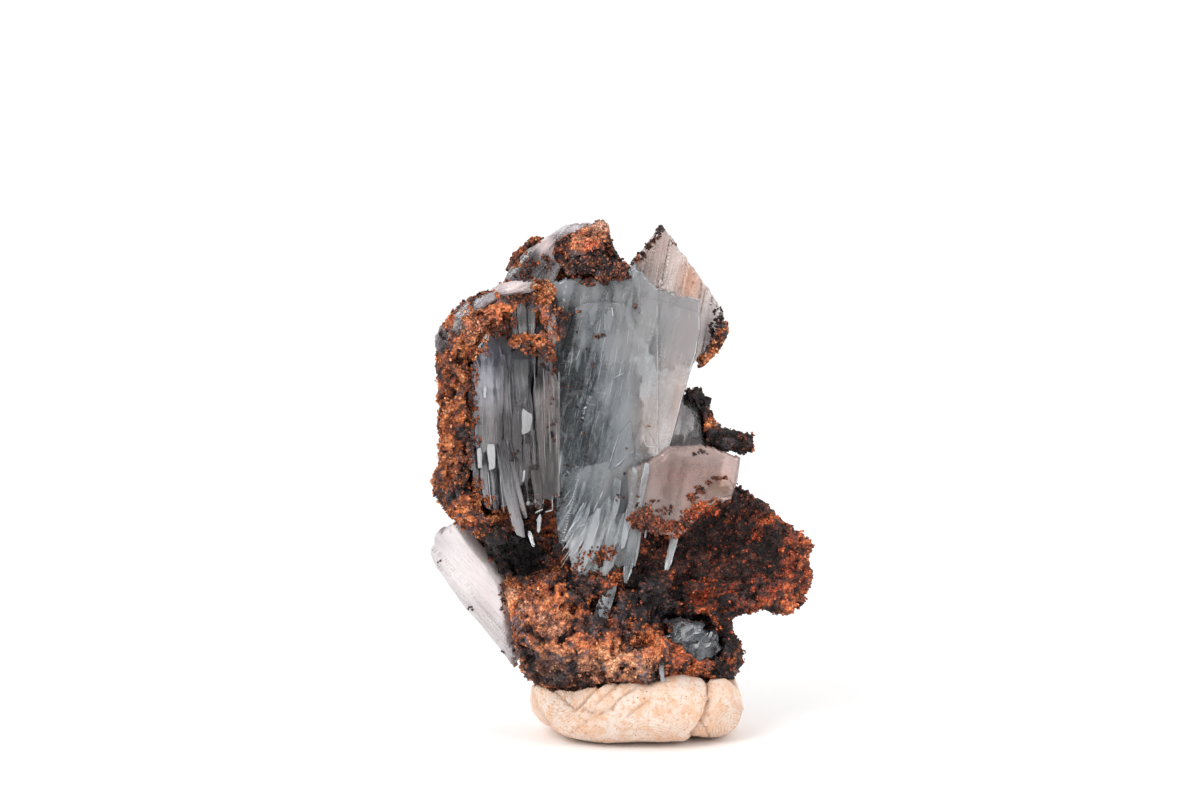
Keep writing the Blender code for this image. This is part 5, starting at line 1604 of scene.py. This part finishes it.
# The lower spray: a feathery sheet, laths in it and fine wisps on it.
SPRAY_SHEET = [
    (553, 474), (575, 464), (607, 458), (632, 448), (652, 455), (645, 498), (637, 530),
    (630, 556), (618, 572), (600, 566), (585, 562), (570, 562), (559, 545), (555, 510),
]  # fmt: skip
sheet = slab(
    "spray_sheet", SPRAY_SHEET, (-2.75, 0.012, -0.011), 2.5, 14.0, 23, relief=0.06,
    jag=(0.5, 1.4), sheaves=12, material=MAIN, tilt=0.06, lift=(0.03, 0.12), sway=0.3,
    veil=[(572, 500, 20, 30, -0.40), (600, 540, 26, 20, 0.35), (622, 500, 14, 30, 0.25)],
    stain=[(572, 500, 26, 40, (0.50, 0.57, 0.61))],
)
is_part(sheet, "barite_lower_spray")
SPRAY_WHITE = [
    (622, 512), (620, 545), (613, 568), (604, 583), (586, 581), (572, 574), (566, 548),
    (574, 528), (590, 515), (606, 504),
]  # fmt: skip
sheet2 = slab(
    "spray_white", SPRAY_WHITE, (-4.3, 0.004, -0.010), 1.5, 24.0, 27, relief=0.16,
    jag=(0.8, 0.7), sheaves=14, material=SPRAYM, tilt=0.12, lift=(0.06, 0.30),
    veil=[(572, 546, 8, 10, 0.45), (608, 528, 12, 12, 0.35), (590, 570, 24, 8, -0.2)],
)
is_part(sheet2, "barite_lower_spray")
spray = [
    lath(647, 463, 638, 510, -6.1, -6.2, 0.95, 0.6, 8, 0.8, 0.6),
    lath(635, 468, 628, 530, -6.1, -6.2, 1.2, 0.6, -6, 0.8, 0.5),
    lath(631, 500, 623, 548, -5.9, -6.1, 1.0, 0.6, 10, 0.7, 0.5),
    lath(628, 474, 616, 532, -3.6, -4.8, 1.5, 1.1, 9, 0.8, 0.5),
    lath(617, 478, 602, 545, -3.8, -5.0, 1.7, 1.1, -8, 0.8, 0.5),
    lath(635, 520, 625, 583, -3.4, -4.9, 1.5, 1.2, 10, 0.6, 0.3),
    lath(641, 516, 634, 566, -3.2, -4.2, 0.9, 0.8, -10, 0.6, 0.4),
    lath(609, 498, 590, 560, -4.6, -5.6, 1.7, 0.9, -12, 0.4, 0.5, -0.2),
    lath(599, 508, 579, 572, -4.8, -5.8, 1.7, 0.9, 8, 0.4, 0.5, -0.3),
    lath(589, 518, 570, 556, -4.6, -5.4, 1.4, 0.8, -8, 0.4, 0.5, -0.3),
    lath(585, 481, 573, 514, -3.9, -4.5, 0.8, 0.5, 10, 0.3, 0.4, -0.2),
    lath(592, 486, 582, 518, -3.9, -4.5, 0.6, 0.5, -10, 0.3, 0.4, -0.2),
    lath(567, 506, 558, 530, -3.9, -4.3, 0.9, 0.5, 0, 0.3, 0.4, -0.2),
    lath(613, 510, 601, 582, -4.9, -5.7, 1.8, 0.9, 6, 0.5, 0.5, -0.2),
]
for _ in range(7):
    f0 = rng.random()
    u0 = 580 + 50 * f0 + rng.uniform(-5, 5)
    v0 = 488 + rng.uniform(-6, 40)
    ln = rng.uniform(20, 46)
    lean_ = math.radians(14 + 16 * (1 - f0))
    y0 = -4.7 + rng.uniform(-0.5, 0.5)
    spray.append(lath(u0, v0, u0 - ln * math.sin(lean_), min(584, v0 + ln * math.cos(lean_)), y0, y0 - 0.5,
                      rng.uniform(0.3, 1.0), rng.uniform(0.25, 0.5), rng.uniform(-30, 30), 0.3, 0.3,
                      rng.uniform(-0.3, 0.1)))
lower_spray = bundle(
    "lower_spray", spray, 37, SPRAYM, sides=7, rings=6, smooth=14, ridged=0.14,
    veil=[(600, 540, 26, 20, 0.2), (575, 500, 20, 20, -0.5), (625, 560, 10, 26, -0.3),
          (622, 500, 20, 26, -0.3)],
    stain=[(575, 498, 20, 24, (0.72, 0.78, 0.82)), (628, 560, 12, 22, (0.75, 0.78, 0.80))],
)
is_part(lower_spray, "barite_lower_spray")
wisps = []
for _ in range(24):
    f0 = rng.random()
    u0 = 572 + 50 * f0 + rng.uniform(-4, 4)
    v0 = 484 + rng.uniform(0, 70)
    ln = rng.uniform(8, 24)
    lean_ = math.radians(14 + 20 * (1 - f0))
    y0 = -5.2 + rng.uniform(-0.6, 0.3) + (0.9 if v0 < 505 else 0.0)
    wisps.append(lath(u0, v0, u0 - ln * math.sin(lean_), min(580, v0 + ln * math.cos(lean_)), y0, y0 - 0.3,
                      rng.uniform(0.06, 0.26), 0.12, rng.uniform(-20, 20), 0.3, 0.3,
                      rng.uniform(-0.25, 0.1)))
wisps += [lath(646, 530, 645, 538, -4.2, -4.4, 0.35, 0.3, 10, 0.7, 0.6),
          lath(561, 451, 558, 480, -3.9, -4.0, 0.30, 0.2, 10, 0.4, 0.4),
          lath(668, 560, 665, 570, -4.9, -5.0, 0.5, 0.3, 10, 0.5, 0.4)]
wisp_obj = bundle("spray_wisps", wisps, 39, GLINT, sides=5, rings=4)
is_part(wisp_obj, "barite_lower_spray")

hang = [lath(680, 512, 667, 570, -3.2, -4.8, 1.15, 1.0, 12, 0.8, 0.4),
        lath(683, 512, 674, 552, -3.0, -4.0, 0.6, 0.6, 0, 0.8, 0.3)]
hanging = bundle("hanging_lath", hang, 41, SPRAYM, sides=8)
is_part(hanging, "barite_hanging_lath")
cav = [lath(612, 584, 599, 629, -4.8, -6.6, 1.9, 1.4, 0, 0.8, 0.4),
       lath(606, 592, 594, 620, -5.0, -6.4, 1.1, 0.9, 10, 0.8, 0.4),
       lath(661, 663, 663, 683, -8.8, -9.2, 0.75, 0.6, 0, 0.8, 0.5)]
cavity = bundle("cavity_lath", cav, 43, SPRAYM, sides=8)
is_part(cavity, "barite_cavity_lath")
rays = []
for k_ in range(24):
    u0, v0 = rng.uniform(668, 712), rng.uniform(620, 654)
    turn_ = math.radians(rng.choice([38.0, 62.0, 15.0, 85.0]) + rng.uniform(-12, 12))
    ln = rng.uniform(8, 20)
    du_, dv_ = ln * math.sin(turn_) / 2, -ln * math.cos(turn_) / 2
    y0 = -5.4 + rng.uniform(-0.4, 0.5)
    rays.append(lath(u0 - du_, v0 - dv_, u0 + du_, v0 + dv_, y0, y0 + rng.uniform(-0.5, 0.5),
                     rng.uniform(0.9, 2.4), rng.uniform(0.3, 0.7), rng.uniform(-30, 30), 0.7, 0.7,
                     rng.uniform(-0.2, 0.2)))
rays += [lath(678, 640, 690, 629, -5.9, -5.7, 0.9, 0.3, 20, 0.5, 0.5),
         lath(676, 658, 684, 652, -5.8, -5.9, 0.7, 0.3, -20, 0.5, 0.5),
         lath(690, 634, 704, 632, -5.8, -5.7, 0.8, 0.3, 30, 0.5, 0.5),
         lath(697, 645, 708, 633, -5.7, -5.6, 0.7, 0.3, 10, 0.5, 0.5)]
foot_rays = bundle(
    "foot_rays", rays[:12], 47, CORNER, sides=6, rings=3, smooth=10,
    stain=[(690, 640, 40, 40, (0.55, 0.6, 0.66))], veil=[(690, 640, 40, 40, -0.3)],
)
is_part(foot_rays, "barite_foot_crystal")
foot_glints = bundle("foot_glints", [
    (a_, b_, w_ * 0.4, k_ * 0.5, t_, e_, c_, h_) for a_, b_, w_, k_, t_, e_, c_, h_ in rays[18:]
], 48, GLINT, sides=5, rings=3, smooth=10)
is_part(foot_glints, "barite_foot_crystal")

# ---------------------------------------------------------------- dust on the crystals
# Crumbs of crust: (u, v, half-width, half-height, how many clumps, rustiness).
CRUMBS = [
    (586, 242, 16, 8, 130, 1.05), (600, 234, 8, 8, 60, 1.25), (603, 226, 2, 4, 8, 1.3),
    (607, 248, 6, 10, 50, 0.35), (578, 246, 8, 6, 40, 1.00), (596, 261, 18, 6, 60, 0.28),
    (475, 317, 14, 7, 60, 0.95), (492, 331, 14, 7, 50, 0.90), (466, 336, 8, 10, 50, 0.90),
    (574, 275, 12, 5, 70, 0.40), (600, 278, 10, 5, 60, 0.32), (618, 275, 9, 5, 60, 0.30),
    (588, 282, 7, 4, 24, 0.42), (566, 268, 6, 6, 30, 0.45), (606, 284, 5, 2, 12, 0.2),
    (520, 300, 12, 5, 26, 0.35), (536, 288, 6, 8, 40, 0.95),
    (474, 380, 5, 20, 50, 0.50), (474, 415, 5, 16, 40, 0.45), (470, 450, 4, 16, 30, 0.50),
    (476, 485, 8, 10, 50, 0.60), (486, 501, 10, 7, 60, 0.65), (499, 516, 11, 7, 70, 0.72),
    (508, 528, 7, 5, 24, 0.55), (472, 350, 10, 12, 50, 0.80), (479, 336, 12, 8, 60, 0.95),
    (546, 354, 7, 12, 40, 0.50), (531, 349, 10, 7, 50, 0.72), (515, 340, 8, 6, 30, 0.70),
    (468, 372, 3, 16, 24, 0.55), (470, 412, 3, 18, 34, 0.50), (469, 455, 3, 16, 30, 0.45),
    (472, 492, 4, 14, 30, 0.50), (484, 350, 6, 6, 14, 0.60), (505, 332, 6, 4, 16, 0.45), (548, 545, 9, 14, 60, 0.42), (553, 564, 10, 8, 40, 0.60), (545, 578, 12, 6, 30, 0.5),
    (512, 592, 6, 3, 24, 1.3), (524, 604, 7, 4, 24, 1.3), (540, 617, 8, 4, 24, 1.2),
    (554, 631, 8, 5, 20, 1.2), (590, 556, 14, 10, 30, 0.45), (576, 570, 10, 6, 30, 0.5),
    (515, 260, 5, 8, 30, 0.5), (524, 250, 6, 4, 24, 0.6), (524, 276, 10, 6, 30, 0.2), (545, 262, 6, 8, 20, 0.3),
    (658, 232, 3, 7, 26, 0.22), (648, 246, 5, 4, 30, 0.26), (634, 259, 8, 4, 40, 0.30),
    (619, 267, 8, 5, 50, 0.28), (719, 478, 8, 1, 24, 0.26), (709, 483, 3, 3, 14, 0.28), (700, 490, 6, 4, 24, 0.32),
    (692, 496, 6, 4, 26, 0.50), (718, 318, 5, 9, 40, 0.05), (712, 330, 4, 8, 24, 0.10),
    (722, 308, 3, 6, 14, 0.06),
    (728, 436, 20, 7, 60, 0.02), (745, 446, 8, 6, 40, 0.04), (755, 447, 3, 7, 20, 0.85),
    (533, 590, 16, 12, 40, 0.55), (560, 612, 22, 10, 60, 0.75), (524, 592, 10, 8, 30, 0.80),
    (640, 640, 10, 8, 40, 0.70), (605, 600, 8, 14, 20, 0.1), (650, 634, 10, 5, 30, 0.75),
    (768, 519, 10, 3, 30, 0.75), (758, 537, 6, 5, 24, 0.62), (731, 661, 5, 4, 20, 0.75),
    (473, 336, 9, 12, 60, 0.62), (492, 326, 14, 6, 50, 0.70), (510, 322, 10, 5, 25, 0.45),
    (546, 298, 7, 14, 60, 0.75), (549, 332, 7, 16, 60, 0.65), (526, 339, 12, 6, 45, 0.62),
    (553, 366, 4, 16, 30, 0.45), (552, 420, 4, 24, 14, 0.15), (478, 440, 5, 5, 10, 0.45),
    (517, 458, 7, 10, 16, 0.10), (536, 506, 9, 8, 14, 0.12), (500, 524, 10, 8, 24, 0.45),
    (606, 553, 12, 8, 60, 0.55), (614, 577, 7, 8, 34, 0.60), (596, 576, 10, 6, 24, 0.40),
    (640, 520, 13, 11, 150, 0.42), (702, 507, 12, 6, 80, 0.78), (673, 529, 13, 9, 90, 0.55), (684, 523, 10, 6, 40, 0.25), (650, 512, 16, 8, 40, 0.35),
    (657, 526, 14, 9, 90, 0.45), (690, 515, 11, 6, 60, 0.55), (655, 508, 20, 8, 30, 0.30),
    (716, 501, 6, 3, 12, 0.6), (661, 228, 3, 5, 24, 0.16),
    (654, 240, 3, 4, 16, 0.22), (640, 255, 6, 3, 22, 0.26), (626, 265, 9, 4, 30, 0.26),
    (674, 244, 4, 2, 6, 0.20), (716, 340, 4, 12, 24, 0.14),
    (600, 275, 20, 4, 50, 0.18), (622, 274, 10, 5, 30, 0.12), (600, 336, 9, 2, 9, 0.30),
    (577, 312, 3, 3, 5, 0.25), (635, 307, 4, 3, 4, 0.35), (504, 596, 4, 20, 26, 0.40),
    (514, 640, 3, 16, 14, 0.12), (668, 628, 5, 6, 18, 0.40), (712, 666, 8, 4, 16, 0.30),
    (690, 401, 8, 6, 26, 0.05), (700, 452, 10, 3, 12, 0.10), (537, 239, 7, 4, 36, 0.72),
    (517, 265, 4, 4, 16, 0.70), (530, 264, 8, 7, 40, 0.28), (572, 262, 7, 6, 26, 0.30),
    (586, 262, 12, 7, 40, 0.22), (456, 306, 8, 5, 12, 0.35), (470, 300, 6, 3, 10, 0.30),
    (444, 334, 4, 5, 10, 0.20), (480, 296, 5, 3, 8, 0.45), (690, 622, 14, 3, 12, 0.30),
    (560, 500, 6, 12, 10, 0.10), (620, 500, 10, 10, 5, 0.30), (640, 460, 40, 40, 6, 0.25),
    (580, 380, 20, 60, 8, 0.15), (440, 560, 3, 3, 2, 0.2), (470, 608, 3, 3, 5, 0.15),
    (500, 655, 6, 6, 8, 0.15),
]  # fmt: skip
SURFACES = tree_of([
    crust, rim, main_blade, back_blade, pink_blade, top_plate, side_plate, corner, foot,
    left_fan, sheet, sheet2, lower_spray, hanging, cavity, shoulder, shelf, flank,
])
rng = np.random.default_rng(404)
crumb_p, crumb_s, crumb_r = [], [], []
for cu, cv, ru, rv, count, level in CRUMBS:
    for _ in range(max(2, round(0.88 * count))):
        a_, r_ = rng.uniform(0, 2 * math.pi), math.sqrt(rng.random()) * rng.uniform(0.7, 1.15)
        hit = seen(SURFACES, cu + ru * r_ * math.cos(a_), cv + rv * r_ * math.sin(a_))
        if hit is None:
            continue
        R_ = rng.uniform(0.05, 0.36) ** 1.0
        tone = level + rng.normal() * 0.15
        for _k in range(6):
            d_ = rng.normal(size=3)
            d_ /= np.linalg.norm(d_)
            if d_ @ hit[1] < 0:
                d_ = -d_
            crumb_p.append(hit[0] + d_ * R_ * rng.uniform(0.3, 1.1))
            crumb_s.append(rng.uniform(0.08, 0.19))
            crumb_r.append(tone)
crumbs = grains(
    "crust_crumbs", np.array(crumb_p), np.array(crumb_s), rng, (OCT_V, OCT_F), 0.3, 0.12,
    level=np.array(crumb_r),
)
is_part(crumbs, "goethite_matrix")

# ---------------------------------------------------------------- the putty
def putty():
    co, no, faces = remeshed([NODES["display_putty"]], 0.38, relax=3)
    u, v = on_sheet(co)
    low = co[:, 2] < 0.25
    d = 0.26 * fbm(co, 0.22, 50, 3) + 0.06 * fbm(co, 0.9, 51, 3)
    side_ = step(-co[:, 1], 0.0, 5.0)

    crease_shade = np.zeros(len(co))

    def groove(path, width, depth, lip=0.0):
        best = np.full(len(co), 1e9)
        sign = np.zeros(len(co))
        q = np.stack([u, v], 1)
        for a, b in zip(path, path[1:]):
            a, b = np.array(a, float), np.array(b, float)
            ab = b - a
            t = np.clip(((q - a) @ ab) / (ab @ ab), 0, 1)
            near = q - (a + t[:, None] * ab)
            dist = np.linalg.norm(near, axis=1)
            closer = dist < best
            best = np.where(closer, dist, best)
            sign = np.where(closer, np.sign(ab[0] * near[:, 1] - ab[1] * near[:, 0]), sign)
        g = np.exp(-((best / width) ** 2))
        np.maximum(crease_shade, g * side_ * (width < 3), out=crease_shade)
        wide = np.exp(-((best / (width * 3.2)) ** 2))
        return (-depth * g + lip * wide * np.clip(sign, 0, 1)) * side_

    d = d + groove([(704, 674), (708, 688), (710, 702), (707, 716), (698, 730), (692, 737)], 1.3, 1.0, 0.0)
    d = d + groove([(704, 674), (708, 688), (710, 702), (707, 716), (698, 730), (692, 737)], 5.0, 0.5, 0.0)
    d = d + groove([(541, 692), (553, 697), (566, 706), (576, 711), (583, 706), (592, 698), (606, 690)], 1.6, 0.75, 0.45)
    d = d + groove([(583, 711), (596, 717), (612, 713), (622, 704), (634, 697)], 1.3, 0.45, 0.3)
    d = d + groove([(627, 718), (640, 711), (650, 706)], 1.2, 0.35, 0.1)
    d = d + groove([(548, 733), (562, 746), (580, 754)], 1.6, 0.25, 0.1)
    d = d + groove([(596, 708), (606, 702), (620, 690)], 1.4, 0.30, 0.1)
    d = d + groove([(530, 694), (536, 712), (550, 726)], 2.0, 0.15, 0.0)
    d = np.where(low, 0, d)
    co = co + no * d[:, None]
    # it is pressed up against the stone
    rise_ = np.interp(
        u, [526, 532, 545, 560, 574, 590, 610, 665, 690, 712], [9, 10, 7, 6, 0, 4, 8, 8, 5, 2]
    )
    co[:, 2] += 0.15 * rise_ * step(-v, -725, -700) * step(-co[:, 1], 0.0, 2.5)
    # the right lobe's shoulder is round
    corner_ = np.clip((u - 722) / 18, 0, 1.2) ** 2 * step(-v, -716, -690)
    co[:, 2] -= 1.5 * corner_
    co[:, 2] = np.maximum(co[:, 2], 0.0)
    # fingerprint ridges: distance from each print's middle, and how strong it is there
    ridge = np.zeros(len(co))
    power = np.zeros(len(co))
    for cu, cv, squash, ru, rv in [(650, 760, 1.2, 60, 34), (735, 730, 1.0, 22, 30), (556, 700, 1.2, 24, 24)]:
        dist = np.hypot((u - cu) * 0.15, (v - cv) * 0.15 * squash)
        m = np.exp(-(((u - cu) / ru) ** 2 + ((v - cv) / rv) ** 2))
        ridge = np.where(m > power, dist, ridge)
        power = np.maximum(power, m)
    return mesh_from("putty_lump", co, faces, 180, {"ridge": ridge, "print": power, "crease_shade": crease_shade})


PUTTY, nt, bsdf, out = nodes_of("display_putty_cream")
t = Tree(nt)
p = here(t)
cloud = t.noise(p, 0.16, 3.0, 0.5)
blotch = t.noise(p, 0.55, 4.0, 0.6, 0.5)
fleck = t.noise(p, 1.9, 3.0, 0.65, 0.4)
dirt = t.voronoi(p, 0.62)
c1 = t.mix(t.span(cloud, 0.35, 0.65), (0.83, 0.71, 0.63), (0.81, 0.61, 0.49))
c2 = t.mix(t.span(blotch, 0.47, 0.60, 0.0, 0.85), c1, (0.78, 0.49, 0.32))
c3 = t.mix(t.span(fleck, 0.53, 0.63, 0.0, 0.8), c2, (0.66, 0.36, 0.19))
c4 = t.mix(t.span(t.noise(p, 0.8, 2.0), 0.60, 0.72, 0.0, 0.6), c3, (0.86, 0.76, 0.66))
c5 = t.mix(t.span(dirt, 0.05, 0.09, 0.85, 0.0), c4, (0.10, 0.06, 0.04))
# painted shade: darker along the narrow creases
c6 = t.mix(t.math("MULTIPLY", t.attr("crease_shade"), 0.55), c5, (0.50, 0.27, 0.16))
t.link(c6, bsdf.inputs["Base Color"])
bsdf.inputs["Roughness"].default_value = 0.55
bsdf.inputs["Subsurface Weight"].default_value = 0.12
bsdf.inputs["Subsurface Radius"].default_value = (0.0012, 0.0007, 0.0004)
bsdf.inputs["Subsurface Scale"].default_value = 1.0
wave = t.math("SINE", t.math("MULTIPLY", t.math("ADD", t.attr("ridge"), t.math("MULTIPLY", cloud, 1.5)), 6.2832 / 0.45))
wave = t.math("MULTIPLY", wave, t.attr("print"))
fine = t.noise(p, 4.0, 4.0, 0.6)
bn = t.bump(fine, 0.35, 0.0001)
t.link(t.bump(wave, 1.0, 0.00009, bn), bsdf.inputs["Normal"])

lump = putty()
lump.data.materials.append(PUTTY)
is_part(lump, "display_putty")

# ---------------------------------------------------------------- the stage
bm = bmesh.new()
bmesh.ops.create_grid(bm, x_segments=2, y_segments=2, size=3.0)
bmesh.ops.translate(bm, vec=(0, -2.35, 0), verts=bm.verts)
mesh = bpy.data.meshes.new("floor")
bm.to_mesh(mesh)
bm.free()
floor = bpy.data.objects.new("floor", mesh)
scene.collection.objects.link(floor)
FLOOR, nt, bsdf, out = nodes_of("floor_white")
t = Tree(nt)
soft = t.noise(here(t), 0.02, 2.0)
t.link(t.mix(soft, (0.97, 0.955, 0.955), (0.98, 0.965, 0.965)), bsdf.inputs["Base Color"])
bsdf.inputs["Roughness"].default_value = 0.6
bsdf.inputs["Specular IOR Level"].default_value = 0.3
floor.data.materials.append(FLOOR)

world = bpy.data.worlds.new("studio")
scene.world = world
world.use_nodes = True
world.node_tree.nodes["Background"].inputs["Color"].default_value = (1.0, 1.0, 1.0, 1)
wt = Tree(world.node_tree)
way = wt.add("VectorMath", operation="DOT_PRODUCT")
wt.link(wt.add("TexCoord").outputs["Generated"], way.inputs[0])
way.inputs[1].default_value = (0.0, -0.97, 0.24)
glow = wt.span(way.outputs["Value"], 0.50, 0.92, 1.12, 0.34, True)
wt.link(glow, world.node_tree.nodes["Background"].inputs["Strength"])
scene.view_settings.view_transform = "Standard"


def softbox(name, place, aim, size, watts, colour=(1, 1, 1)):
    data = bpy.data.lights.new(name, "AREA")
    data.shape = "RECTANGLE"
    data.size, data.size_y = size
    data.energy = watts
    data.color = colour
    obj = bpy.data.objects.new(name, data)
    scene.collection.objects.link(obj)
    obj.location = place
    obj.rotation_euler = (Vector(aim) - Vector(place)).to_track_quat("-Z", "Y").to_euler()
    return obj


softbox("key", (-0.38, -0.42, 0.50), (0, 0, 0.04), (0.36, 0.36), 2.4)
softbox("fill", (0.50, -0.36, 0.30), (0, 0, 0.04), (0.22, 0.42), 1.1)

cam_data = bpy.data.cameras.new("camera")
cam_data.lens = 100.0
cam_data.sensor_width = 36.0
cam_data.clip_start, cam_data.clip_end = 0.01, 20.0
cam = bpy.data.objects.new("camera", cam_data)
scene.collection.objects.link(cam)
cam.location = EYE * MM
cam.rotation_euler = (math.radians(90 - 8), 0, 0)
scene.camera = cam

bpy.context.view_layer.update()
total = 0
for o in scene.objects:
    if o.type == "MESH" and not o.hide_render:
        n_ = sum(len(q.vertices) - 2 for q in o.data.polygons)
        total += n_
        print("TRIS", o.name, n_)
print("TRIS total", total)
